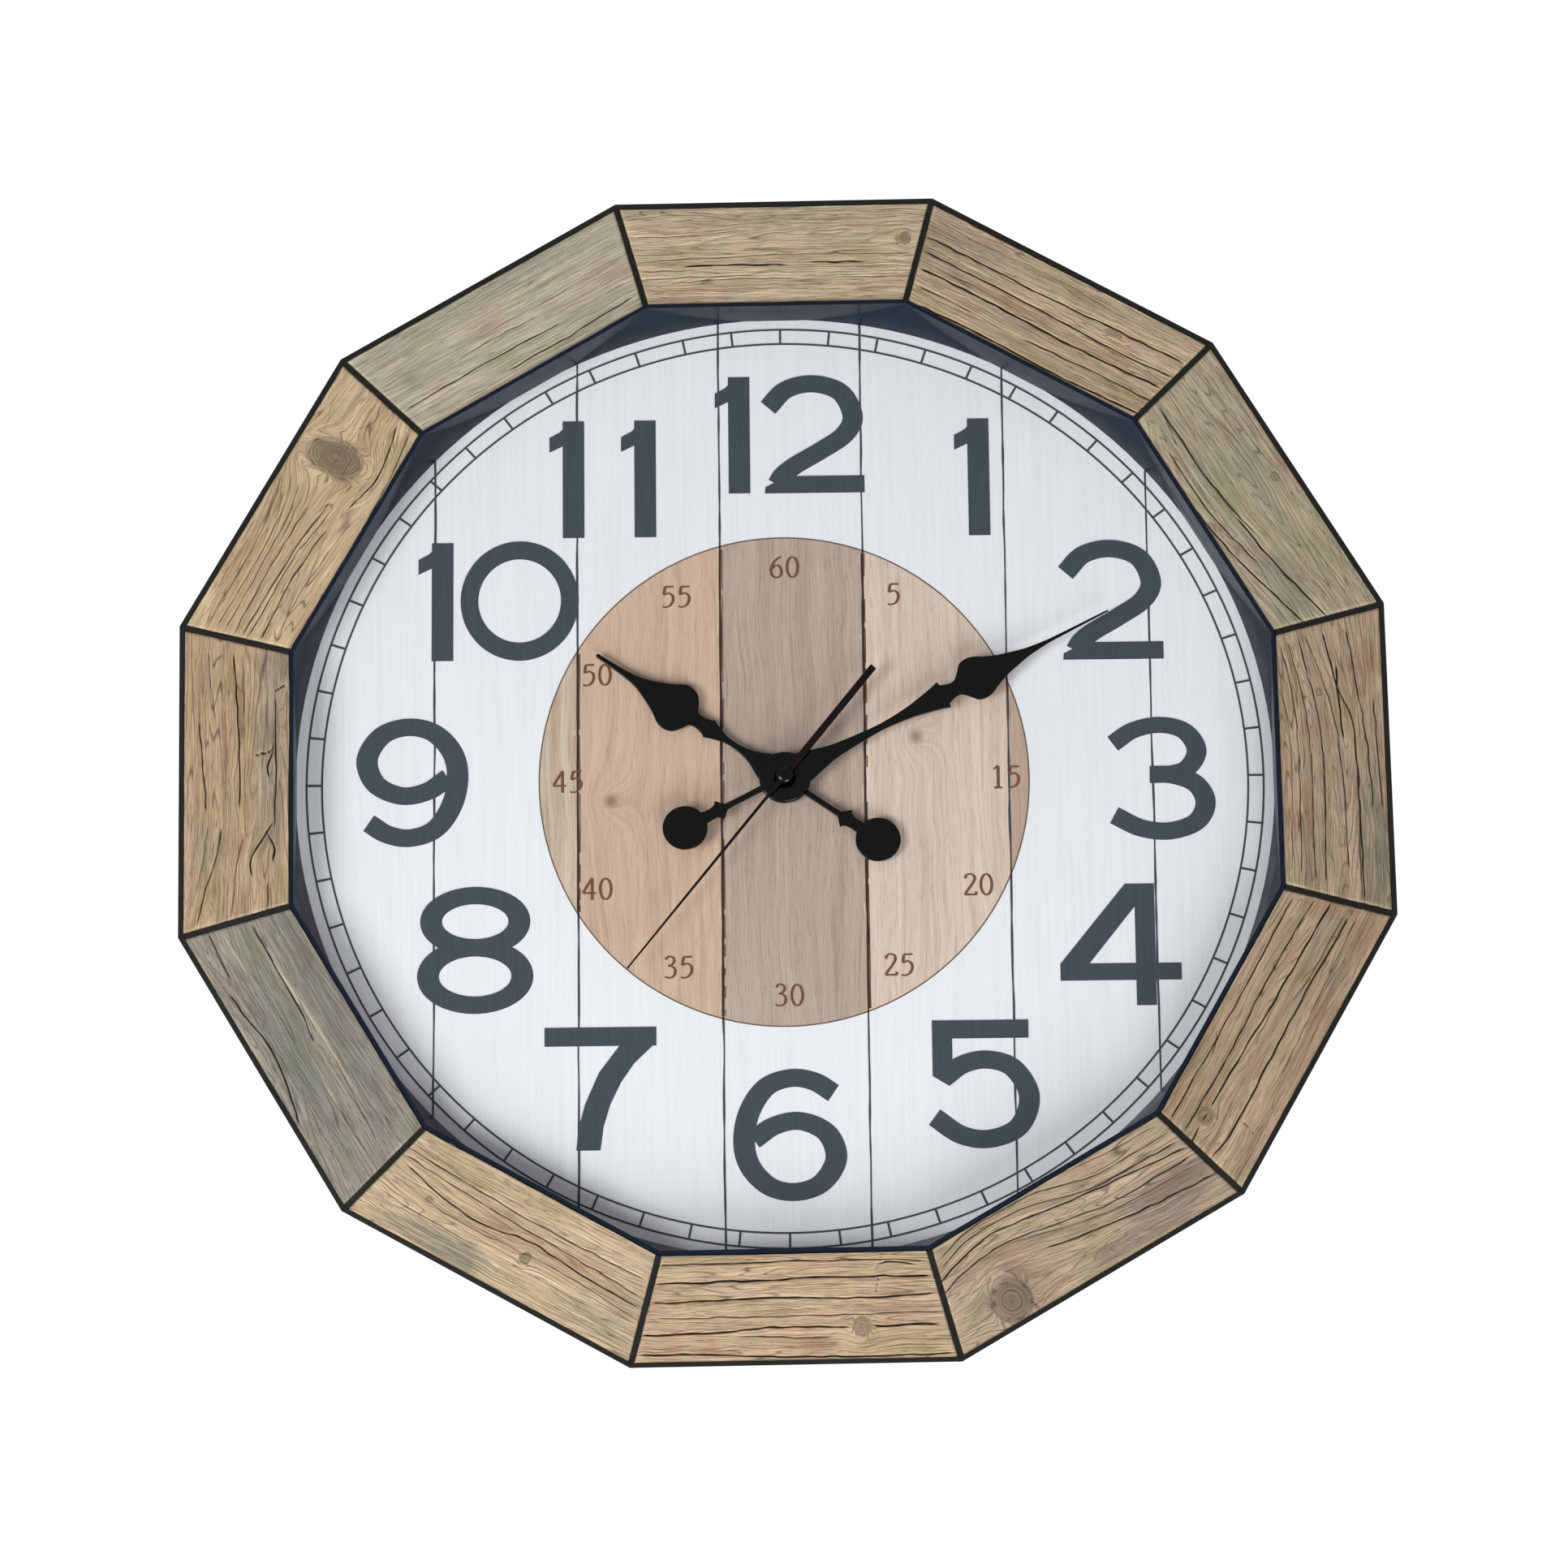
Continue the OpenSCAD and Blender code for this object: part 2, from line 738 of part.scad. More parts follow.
module rotor_pinion() {
    color("#e8e4da") translate(rotor_at) {
        disc(wheel_arbor_radius, pivot_back, pivot_front);
        disc(wheel_arbor_radius + 0.4, magnet_z - 0.3, magnet_z + magnet_height);
        gear(pinion_leaves, step_module, gap_phase(pinion_leaves, rotor_bearing),
             step_wheel_z - 0.3, 1.4);
    }
}

module step_wheel() {
    color("#f2efe6") translate(step_at) {
        disc(wheel_arbor_radius, pivot_back, pivot_front);
        gear(step_wheel_teeth, step_module, rotor_bearing, step_wheel_z, wheel_thickness);
        gear(pinion_leaves, step_module, gap_phase(pinion_leaves, step_bearing),
             step_wheel_z + wheel_thickness, 2.4);
    }
}

module second_wheel() {
    color("#f2efe6") {
        disc(second_arbor_radius, pivot_back, second_arbor_top);
        gear(second_wheel_teeth, step_module, step_bearing, second_wheel_z, wheel_thickness);
        gear(pinion_leaves, second_pinion_module, third_bearing,
             second_wheel_z + wheel_thickness, 2);
    }
}

module third_wheel() {
    color("#f2efe6") translate(third_at) {
        disc(wheel_arbor_radius, pivot_back, pivot_front);
        gear(third_wheel_teeth, second_pinion_module, gap_phase(third_wheel_teeth, third_bearing),
             third_wheel_z, wheel_thickness);
        gear(pinion_leaves, third_pinion_module, gap_phase(pinion_leaves, third_bearing),
             third_wheel_z + wheel_thickness, 2);
    }
}

module centre_wheel() {
    color("#e3dccb") difference() {
        gear(centre_wheel_teeth, third_pinion_module, third_bearing, centre_wheel_z, wheel_thickness);
        disc(minute_tube_radius + pivot_gap, centre_wheel_z - 1, centre_wheel_z + 2);
    }
}

// Minute tube with its cannon pinion
module cannon_pinion() {
    color("#c9a44c") difference() {
        union() {
            disc(minute_tube_radius, centre_wheel_z - 0.25, minute_tube_top);
            gear(cannon_leaves, cannon_module, motion_bearing, motion_wheel_z - 0.1, 1);
        }
        disc(minute_tube_hole, centre_wheel_z - 2, minute_tube_top + 1);
    }
}

module motion_wheel() {
    color("#e3dccb") translate(motion_at) {
        disc(motion_arbor_radius, cover_front + 0.9, case_inner_front + 0.3);
        gear(motion_wheel_teeth, cannon_module, gap_phase(motion_wheel_teeth, motion_bearing),
             motion_wheel_z, wheel_thickness);
        gear(motion_leaves, motion_module, gap_phase(motion_leaves, motion_bearing),
             motion_wheel_z + wheel_thickness, 1.7);
    }
}

// Knurled knob on the rear end of the motion wheel's arbor
module setting_knob() {
    grips = 24;
    color("#e9e6dd") translate(motion_at) difference() {
        disc(knob_radius, knob_back, cover_front + 0.9);
        for (i = [0 : grips - 1])
            rotate([0, 0, i * 360 / grips])
                translate([knob_radius + 0.1, 0, 0])
                    disc(0.35, knob_back - 1, cover_front + 2, $fn = 16);
        tube(3.6, 1.6, knob_back - 1, knob_back + 0.8);
    }
}

module hour_wheel() {
    color("#e3dccb") difference() {
        union() {
            gear(hour_wheel_teeth, motion_module, motion_bearing, hour_wheel_z, wheel_thickness);
            disc(hour_tube_radius, hour_wheel_z, hour_tube_top);
        }
        disc(hour_tube_hole, hour_wheel_z - 1, hour_tube_top + 1);
    }
}

// ---------------------------------------------------------------- hands

// A hand's blade points up. Stations are [distance along the hand, half-width].
module blade(stations, z0, thickness) {
    right = [for (s = stations) [s[1], s[0]]];
    left = [for (i = [len(stations) - 1 : -1 : 0]) [-stations[i][1], stations[i][0]]];
    translate([0, 0, z0]) linear_extrude(thickness) polygon(concat(right, left));
}

// Tail shared by both hands: a stem with a pointed collar and a round end
module hand_tail(z0) {
    tail = tail_disc_distance;
    blade([
        [-tail, 3.2], [-tail + 12, 3.2], [-tail + 15.5, 3.2], [-tail + 19, 5.2],
        [-tail + 21, 4.6], [-tail + 22.5, 2.9], [-tail + 25, 1.6], [0, 1.6]
    ], z0, hand_thickness);
    translate([0, -tail, 0]) disc(tail_disc_radius, z0, z0 + hand_thickness);
}

// Spade-shaped blade. The neck, collar and spade keep their places along the hand.
module hand_front(neck, collar, spade, spade_half_width, length, z0) {
    w = spade_half_width;
    blade([
        [0, 9.2], [12, 7.8], [0.37 * neck + 4, 5.4], [0.62 * neck, 3.2], [neck, 1.8],
        [neck + 0.5 * (collar - neck), 3], [collar - 3, 0.42 * w + 1.4], [collar, 0.46 * w + 1.6],
        [collar + 1.6, 4.6], [collar + 5, 3.7], [collar + 8, 4.4], [spade - 4, 0.85 * w],
        [spade - 2, 0.97 * w], [spade, w], [spade + 3, 0.95 * w], [spade + 7, 0.76 * w],
        [spade + 12, 0.58 * w], [spade + 18, 0.38 * w], [spade + 26, 0.2 * w],
        [spade + 36, 1.1], [length - 1, 0.8], [length, 0.4]
    ], z0, hand_thickness);
}

module hand_hub(z0) {
    translate([0, 0, z0])
        rotate_extrude()
            polygon([
                [0, 0],
                [hand_hub_radius, 0],
                [hand_hub_radius, hand_thickness],
                [hand_hub_radius - 2.5, hand_thickness + 0.4],
                [0, hand_thickness + 0.4]
            ]);
}

module hour_hand() {
    color("#111213") rotate([0, 0, -hour_angle]) difference() {
        union() {
            hand_hub(hour_hand_z);
            hand_front(30, 47, 66, 13.1, hour_hand_length, hour_hand_z);
            hand_tail(hour_hand_z);
        }
        disc(hour_tube_radius + 0.02, hour_hand_z - 1, hour_hand_z + 3);
    }
}

module minute_hand() {
    color("#111213") rotate([0, 0, -minute_angle]) difference() {
        union() {
            hand_hub(minute_hand_z);
            hand_front(54, 91, 109.5, 11.5, minute_hand_length, minute_hand_z);
            hand_tail(minute_hand_z);
        }
        disc(minute_tube_radius + 0.02, minute_hand_z - 1, minute_hand_z + 3);
    }
}

// Thin pointed blade with a broad tail, on a small tube
module second_hand() {
    color("#151010") rotate([0, 0, -second_angle]) difference() {
        union() {
            blade([[0, 1.6], [14, 0.7], [60, 0.55], [second_hand_length, 0.3]],
                  second_hand_z, second_hand_thickness);
            blade([[-73, 1.8], [-10, 1.8], [0, 1.6]], second_hand_z, second_hand_thickness);
            disc(3.6, second_hand_z, second_hand_z + second_hand_thickness);
            disc(1.3, second_hand_z - 1, second_hand_z + 1);
        }
        disc(second_arbor_radius + 0.02, second_hand_z - 2, second_hand_z + 2);
    }
}

// Small domed cap over the end of the second arbor
module second_hand_cap() {
    cap_back = second_hand_z + second_hand_thickness;
    color("#0e0e10") translate([0, 0, cap_back]) difference() {
        rotate_extrude()
            polygon([[0, 0], [4.4, 0], [4.3, 0.9], [3.6, 1.9], [2.2, 2.6], [0, 2.9]]);
        disc(1.35, -1, 1.2);
    }
}

// ---------------------------------------------------------------- assembly

PANEL_SHADES = ["#c2a67c", "#a98a69", "#8f8468", "#ab946d", "#a98c66", "#b39a72",
                "#caa981", "#bd9f70", "#84796a", "#b39a72", "#bb9c6c", "#97907a"];

stand_up() frame_ring();
stand_up() panel(0, PANEL_SHADES[0]);  // panel_01
stand_up() panel(1, PANEL_SHADES[1]);  // panel_02
stand_up() panel(2, PANEL_SHADES[2]);  // panel_03
stand_up() panel(3, PANEL_SHADES[3]);  // panel_04
stand_up() panel(4, PANEL_SHADES[4]);  // panel_05
stand_up() panel(5, PANEL_SHADES[5]);  // panel_06
stand_up() panel(6, PANEL_SHADES[6]);  // panel_07
stand_up() panel(7, PANEL_SHADES[7]);  // panel_08
stand_up() panel(8, PANEL_SHADES[8]);  // panel_09
stand_up() panel(9, PANEL_SHADES[9]);  // panel_10
stand_up() panel(10, PANEL_SHADES[10]);  // panel_11
stand_up() panel(11, PANEL_SHADES[11]);  // panel_12
stand_up() inner_bezel();
stand_up() drum_wall();
stand_up() rear_lip();
stand_up() mounting_flange();
stand_up() hanger_block();
stand_up() housing_screws();
stand_up() dial_board();
stand_up() dial_face();
stand_up() dial_screws();
stand_up() hanger_plate();
stand_up() hanger_screws();
stand_up() movement_case();
stand_up() movement_cover();
stand_up() bushing();
stand_up() rubber_gasket();
stand_up() washer();
stand_up() hex_nut();
stand_up() train_plate();
stand_up() stator();
stand_up() coil_bobbin();
stand_up() coil_winding();
stand_up() circuit_board();
stand_up() chip_blob();
stand_up() quartz_crystal();
stand_up() positive_contact();
stand_up() negative_contact();
stand_up() battery();
stand_up() rotor_magnet();
stand_up() rotor_pinion();
stand_up() step_wheel();
stand_up() second_wheel();
stand_up() third_wheel();
stand_up() centre_wheel();
stand_up() cannon_pinion();
stand_up() motion_wheel();
stand_up() setting_knob();
stand_up() hour_wheel();
stand_up() hour_hand();
stand_up() minute_hand();
stand_up() second_hand();
stand_up() second_hand_cap();
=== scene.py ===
"""Looks of a twelve-sided wall clock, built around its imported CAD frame.

Points on the clock are written as (right, up, out of the wall) in millimetres, and
place() turns them into the scene's frame, where the wall is y = 0 and the dial faces -Y.
A shape is a pair of (points, faces). Noise and random draws take a seed, so that each run
gives the same clock.
"""

import json
import math

import bmesh
import bpy
import numpy as np
from mathutils import Matrix, Vector
from mathutils.geometry import delaunay_2d_cdt


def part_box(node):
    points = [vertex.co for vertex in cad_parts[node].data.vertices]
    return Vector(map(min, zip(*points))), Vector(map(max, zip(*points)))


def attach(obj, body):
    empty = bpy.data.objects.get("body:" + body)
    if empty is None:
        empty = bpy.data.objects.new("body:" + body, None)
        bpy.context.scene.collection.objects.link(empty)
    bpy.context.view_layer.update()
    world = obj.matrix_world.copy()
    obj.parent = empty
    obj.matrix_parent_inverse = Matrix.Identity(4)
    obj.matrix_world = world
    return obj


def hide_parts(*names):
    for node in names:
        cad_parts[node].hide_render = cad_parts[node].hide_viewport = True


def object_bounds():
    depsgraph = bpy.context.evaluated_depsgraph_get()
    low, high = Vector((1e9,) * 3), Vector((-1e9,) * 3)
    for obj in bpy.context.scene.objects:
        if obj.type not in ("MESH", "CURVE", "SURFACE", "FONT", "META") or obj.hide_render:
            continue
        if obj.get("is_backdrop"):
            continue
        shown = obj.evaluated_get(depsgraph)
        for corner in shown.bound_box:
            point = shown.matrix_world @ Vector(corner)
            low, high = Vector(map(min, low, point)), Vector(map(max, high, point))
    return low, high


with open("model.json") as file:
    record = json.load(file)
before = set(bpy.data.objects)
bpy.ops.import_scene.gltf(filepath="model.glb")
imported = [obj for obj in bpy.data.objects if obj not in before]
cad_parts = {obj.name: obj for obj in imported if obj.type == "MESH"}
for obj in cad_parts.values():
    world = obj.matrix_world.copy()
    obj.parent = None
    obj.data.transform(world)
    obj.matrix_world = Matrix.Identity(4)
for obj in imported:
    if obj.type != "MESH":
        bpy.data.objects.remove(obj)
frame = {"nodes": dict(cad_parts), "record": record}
cad_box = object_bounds()

MM = 0.001
SIDES = 12
SIDE_ANGLE = 360 / SIDES
DIAL_TURN = -0.45  # the printed dial is turned a little clockwise in its frame


# ---------------------------------------------------------------- shapes


def place(points):
    """Rows of (right, up, out) in millimetres as rows in the scene's frame."""
    points = np.asarray(points, float) * MM
    return np.column_stack([points[:, 0], -points[:, 2], points[:, 1]])


def node_box(node):
    """Lowest and highest (right, up, out) of a CAD node, in millimetres."""
    low, high = (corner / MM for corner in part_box(node))
    return Vector((low.x, low.z, -high.y)), Vector((high.x, high.z, -low.y))


def add_object(name, data):
    """A new object in the scene that shows `data`."""
    obj = bpy.data.objects.new(name, data)
    bpy.context.scene.collection.objects.link(obj)
    return obj


def make_piece(name, points, faces, materials, slot, body="root", replaces=(), sharp=35):
    """A mesh piece that rides on a CAD body and stands in for the nodes it replaces."""
    mesh = bpy.data.meshes.new(name)
    mesh.from_pydata(place(points).tolist(), [], faces)
    for material in materials:
        mesh.materials.append(material)
    mesh.shade_smooth()
    mesh.set_sharp_from_angle(angle=math.radians(sharp))
    obj = add_object(name, mesh)
    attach(obj, body)
    if replaces:
        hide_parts(*replaces)
    return obj


def face_outwards(obj):
    """Turns the faces of a closed mesh outwards."""
    shape = bmesh.new()
    shape.from_mesh(obj.data)
    bmesh.ops.recalc_face_normals(shape, faces=shape.faces)
    shape.to_mesh(obj.data)
    shape.free()


def join_shapes(shapes):
    """Several (points, faces) as one."""
    points, faces, count = [], [], 0
    for shape_points, shape_faces in shapes:
        points.append(np.asarray(shape_points, float))
        faces += [[count + k for k in face] for face in shape_faces]
        count += len(shape_points)
    return np.vstack(points), faces


def upright_parts(points, face):
    """A quad's two triangles, both counter-clockwise, or a larger outline as it is."""
    if len(face) > 4:
        return [face]
    parts = []
    for a, b, c in ([face[0], face[1], face[2]], [face[0], face[2], face[3]]):
        (ax, ay), (bx, by), (cx, cy) = points[a], points[b], points[c]
        area = (bx - ax) * (cy - ay) - (cx - ax) * (by - ay)
        if abs(area) > 1e-4:
            parts.append([a, b, c] if area > 0 else [a, c, b])
    return parts


def united(shapes):
    """Several flat shapes that may overlap as one flat shape that doesn't."""
    points, faces = join_shapes(shapes)
    faces = [part for face in faces for part in upright_parts(points, face)]
    enclosed = 1
    points, _, faces, _, _, owners = delaunay_2d_cdt(
        [Vector(p) for p in points], [], faces, enclosed, 1e-4)
    kept = [face for face, owner in zip(faces, owners) if owner]
    used = sorted({k for face in kept for k in face})
    number = {k: n for n, k in enumerate(used)}
    return np.array([tuple(points[k]) for k in used]), [[number[k] for k in face] for face in kept]


def thicken(flat, back, front):
    """A flat (points, faces) shape as a closed plate from `back` to `front`."""
    points, faces = flat
    points = np.asarray(points, float)
    count = len(points)
    edges = {}
    for face in faces:
        for a, b in zip(face, list(face[1:]) + [face[0]]):
            edges[(a, b)] = edges.get((a, b), 0) + 1
    rim = [(a, b) for a, b in edges if (b, a) not in edges]
    solid = [list(face) for face in faces]
    solid += [[k + count for k in reversed(face)] for face in faces]
    solid += [[b, a, a + count, b + count] for a, b in rim]
    plates = [np.column_stack([points, np.full(count, level)]) for level in (front, back)]
    return np.vstack(plates), solid


def lathe(profile, segments=96):
    """A closed ring turned from a closed (radius, out) profile."""
    profile = np.asarray(profile, float)
    angles = np.linspace(0, 2 * math.pi, segments, endpoint=False)
    points = np.array([
        (r * math.cos(a), r * math.sin(a), z) for a in angles for r, z in profile])
    count = len(profile)
    faces = []
    for i in range(segments):
        here, after = i * count, (i + 1) % segments * count
        for k in range(count):
            n = (k + 1) % count
            faces.append([here + k, after + k, after + n, here + n])
    return points, faces


def curve_through(points, steps=8, closed=False):
    """A Catmull-Rom curve through given points."""
    points = [np.asarray(p, float) for p in points]
    if closed:
        around = [points[-1]] + points + points[:2]
    else:
        around = [2 * points[0] - points[1]] + points + [2 * points[-1] - points[-2]]
    out = []
    for a, b, c, d in zip(around, around[1:], around[2:], around[3:]):
        for t in np.arange(steps) / steps:
            out.append(0.5 * (2 * b + (c - a) * t + (2 * a - 5 * b + 4 * c - d) * t * t
                              + (3 * b - a - 3 * c + d) * t ** 3))
    if not closed:
        out.append(points[-1])
    return np.array(out)


def stroke(path, pen, closed=False):
    """The mark of an elliptical pen, with half-widths `pen` across and up, along a path."""
    path = np.asarray(path, float)
    if closed:
        along = np.roll(path, -1, 0) - np.roll(path, 1, 0)
    else:
        along = np.gradient(path, axis=0)
    along /= np.linalg.norm(along, axis=1, keepdims=True)
    side = np.column_stack([-along[:, 1], along[:, 0]])
    half = np.hypot(side[:, 0] * pen[0], side[:, 1] * pen[1])[:, None]
    count = len(path)
    points = np.vstack([path + side * half, path - side * half])
    last = count if closed else count - 1
    faces = [[k, k + count, (k + 1) % count + count, (k + 1) % count] for k in range(last)]
    return points, faces


def ellipse(centre, radii, steps=72, start=0.0, sweep=360.0):
    """Points along an ellipse, counter-clockwise from `start` degrees."""
    closed = abs(sweep) >= 360
    angles = np.radians(start + sweep * np.linspace(0, 1, steps, endpoint=not closed))
    return np.column_stack([centre[0] + radii[0] * np.cos(angles),
                            centre[1] + radii[1] * np.sin(angles)])


def moved(flat, shift):
    """A flat shape shifted by (right, up)."""
    points, faces = flat
    return np.asarray(points, float) + np.asarray(shift, float), faces


def turned(shape, degrees):
    """A shape turned counter-clockwise about the arbor."""
    points, faces = shape
    points = np.array(points, float)
    a = math.radians(degrees)
    turn = np.array([[math.cos(a), math.sin(a)], [-math.sin(a), math.cos(a)]])
    points[:, :2] = points[:, :2] @ turn
    return points, faces


def lattice_noise(x, y, seed):
    """Smooth noise from -1 to 1 at arrays x and y, with one lattice cell to a unit."""
    x, y = np.broadcast_arrays(np.asarray(x, float), np.asarray(y, float))
    column, row = np.floor(x).astype(np.int64), np.floor(y).astype(np.int64)
    fx, fy = x - column, y - row
    fx, fy = fx * fx * (3 - 2 * fx), fy * fy * (3 - 2 * fy)

    def corner(i, j):
        mixed = (column + i) * 73856093 ^ (row + j) * 19349663 ^ (seed + 1) * 83492791
        mixed = (mixed & 0xFFFFFF) * 2654435761 & 0xFFFFFFFF
        return (mixed >> 8 & 0xFFFF) / 32767.5 - 1

    low = corner(0, 0) * (1 - fx) + corner(1, 0) * fx
    high = corner(0, 1) * (1 - fx) + corner(1, 1) * fx
    return low * (1 - fy) + high * fy


# ---------------------------------------------------------------- materials


def srgb(red, green, blue):
    """A display colour, 0 to 255 a channel, as the linear colour that shaders take."""
    def linear(value):
        value /= 255
        return value / 12.92 if value <= 0.04045 else ((value + 0.055) / 1.055) ** 2.4
    return (linear(red), linear(green), linear(blue), 1.0)


def shade(tone, factor, lift=0.0, most=255.0):
    """A display colour scaled and lifted, as a linear colour."""
    return srgb(*(min(channel * factor + lift, most) for channel in tone))


class Shader:
    """A node material around one Principled BSDF, with the blocks that all finishes share."""

    def __init__(self, name, **sockets):
        self.material = bpy.data.materials.new(name)
        self.material.use_nodes = True
        self.tree = self.material.node_tree
        self.bsdf = self.tree.nodes["Principled BSDF"]
        for socket, value in sockets.items():
            self.bsdf.inputs[socket.replace("_", " ")].default_value = value

    def node(self, kind, inputs, **settings):
        """A new node. An input is either a value or the output of another node."""
        made = self.tree.nodes.new(kind)
        for key, value in settings.items():
            setattr(made, key, value)
        for key, value in inputs.items():
            if isinstance(value, bpy.types.NodeSocket):
                self.tree.links.new(value, made.inputs[key])
            else:
                made.inputs[key].default_value = value
        return made

    def link(self, output, socket):
        """Links a node's output to a socket of the BSDF."""
        self.tree.links.new(output, self.bsdf.inputs[socket])

    def attribute(self, name, output="Vector"):
        """An attribute stored on the mesh."""
        return self.node("ShaderNodeAttribute", {}, attribute_name=name).outputs[output]

    def place(self, stretch=(1, 1, 1), source=None):
        """Coordinates in millimetres times `stretch`."""
        if source is None:
            source = self.node("ShaderNodeTexCoord", {}).outputs["Object"]
            stretch = tuple(s / MM for s in stretch)
        return self.node("ShaderNodeVectorMath", {0: source, 1: stretch},
                         operation="MULTIPLY").outputs[0]

    def noise(self, where, scale=1.0, detail=3.0, rough=0.55, distortion=0.0):
        """Fractal noise around 0.5."""
        return self.node("ShaderNodeTexNoise", {
            "Vector": where, "Scale": scale, "Detail": detail, "Roughness": rough,
            "Distortion": distortion}).outputs["Fac"]

    def spread(self, value, low, high, to_low=0.0, to_high=1.0):
        """`value` from low..high stretched over to_low..to_high, and held there."""
        return self.node("ShaderNodeMapRange", {
            "Value": value, "From Min": low, "From Max": high,
            "To Min": to_low, "To Max": to_high}).outputs["Result"]

    def contours(self, value, count, width):
        """Thin lines where `value` crosses one of `count` levels, 1 on the line."""
        step = self.math("FRACT", self.math("MULTIPLY", value, count))
        away = self.math("ABSOLUTE", self.math("SUBTRACT", step, 0.5))
        return self.spread(away, 0.0, width, 1.0, 0.0)

    def math(self, operation, a, b=0.0):
        """A sum, product or other function of two values."""
        return self.node("ShaderNodeMath", {0: a, 1: b}, operation=operation).outputs[0]

    def mix(self, factor, a, b, blend="MIX"):
        """Colour `a` where the factor is 0, and `b` where it is 1."""
        return self.node("ShaderNodeMix", {0: factor, 6: a, 7: b}, data_type="RGBA",
                         blend_type=blend).outputs[2]

    def bump(self, height, depth, strength=1.0):
        """Bump from a height of 0..1 that stands for `depth` millimetres."""
        made = self.node("ShaderNodeBump", {
            "Height": height, "Strength": strength, "Distance": depth * MM})
        self.link(made.outputs["Normal"], "Normal")

    def finish(self, colour, roughness, height, depth):
        """Links colour and roughness, adds a bump, and returns the material."""
        self.link(colour, "Base Color")
        self.link(roughness, "Roughness")
        self.bump(height, depth)
        return self.material


def moulded(name, tone, roughness, grain=1.2, depth=0.05, worn=1.5):
    """Moulded plastic: fine texture, slight mottling and paler edges."""
    s = Shader(name, Specular_IOR_Level=0.45)
    broad = s.noise(s.place(), 0.02, 4)
    fine = s.noise(s.place(), grain, 2)
    base = s.mix(s.spread(broad, 0.35, 0.65), srgb(*tone), shade(tone, 1.15, 3))
    edge = s.spread(s.node("ShaderNodeNewGeometry", {}).outputs["Pointiness"], 0.52, 0.6)
    base = s.mix(s.math("MULTIPLY", edge, 0.35), base, shade(tone, worn, 12))
    rough = s.spread(s.math("ADD", broad, fine), 0.7, 1.3, roughness - 0.06, roughness + 0.08)
    return s.finish(base, rough, fine, depth)


def metal(name, tone, roughness, brush=(1, 1, 1), depth=0.01):
    """Bare metal with brushed or tumbled marks and dull patches."""
    s = Shader(name, Metallic=1.0)
    marks = s.noise(s.place(brush), 2.0, 3)
    patch = s.noise(s.place(), 0.09, 4)
    base = s.mix(s.spread(patch, 0.35, 0.7), srgb(*tone), shade(tone, 0.8))
    rough = s.spread(s.math("ADD", marks, patch), 0.7, 1.3, roughness - 0.08, roughness + 0.12)
    return s.finish(base, rough, marks, depth)


def gloss_black(name, tone, roughness, ripple=0.006, shine=0.2):
    """Glossy black lacquer with a faint ripple and a thin film of dust."""
    s = Shader(name, Specular_IOR_Level=shine)
    dust = s.noise(s.place(), 0.6, 5, 0.7)
    base = s.mix(s.spread(dust, 0.5, 0.85, 0, 0.25), srgb(*tone), shade(tone, 1.4, 3))
    rough = s.spread(s.noise(s.place(), 0.05, 3), 0.3, 0.7, roughness - 0.04, roughness + 0.06)
    return s.finish(base, rough, s.noise(s.place(), 0.25, 2), ripple)


def fibreboard(name):
    """Raw fibreboard: tan felted fibres with darker specks."""
    s = Shader(name, Specular_IOR_Level=0.25)
    fibres = s.noise(s.place(), 0.8, 5, 0.75, 1.5)
    base = s.mix(s.spread(fibres, 0.35, 0.65), srgb(150, 118, 82), srgb(184, 152, 112))
    specks = s.spread(s.noise(s.place(), 2.5, 2), 0.66, 0.74)
    base = s.mix(specks, base, srgb(108, 80, 54))
    return s.finish(base, s.spread(fibres, 0.3, 0.7, 0.78, 0.92), fibres, 0.06)


def wound_wire(name):
    """Rows of enamelled copper wire around the coil."""
    s = Shader(name, Metallic=0.9)
    turns = s.node("ShaderNodeTexWave", {
        "Vector": s.place(), "Scale": 1.3, "Distortion": 0.6, "Detail": 1.0},
        bands_direction="X").outputs["Fac"]
    base = s.mix(turns, srgb(98, 44, 22), srgb(206, 122, 72))
    return s.finish(base, s.spread(turns, 0, 1, 0.5, 0.28), turns, 0.05)


def solder_mask(name):
    """Green circuit board with paler copper tracks under the mask."""
    s = Shader(name, Coat_Weight=0.5, Coat_Roughness=0.12)
    tracks = s.node("ShaderNodeTexBrick", {
        "Vector": s.place(), "Scale": 0.22, "Mortar Size": 0.03, "Color1": (0, 0, 0, 1),
        "Color2": (0, 0, 0, 1), "Mortar": (1, 1, 1, 1)}).outputs["Color"]
    base = s.mix(s.noise(s.place(), 0.4, 3), srgb(22, 78, 44), srgb(34, 100, 58))
    base = s.mix(tracks, base, srgb(74, 140, 84))
    rough = s.spread(s.noise(s.place(), 1.5, 2), 0.3, 0.7, 0.3, 0.45)
    return s.finish(base, rough, s.noise(s.place(), 3.0, 2), 0.02)


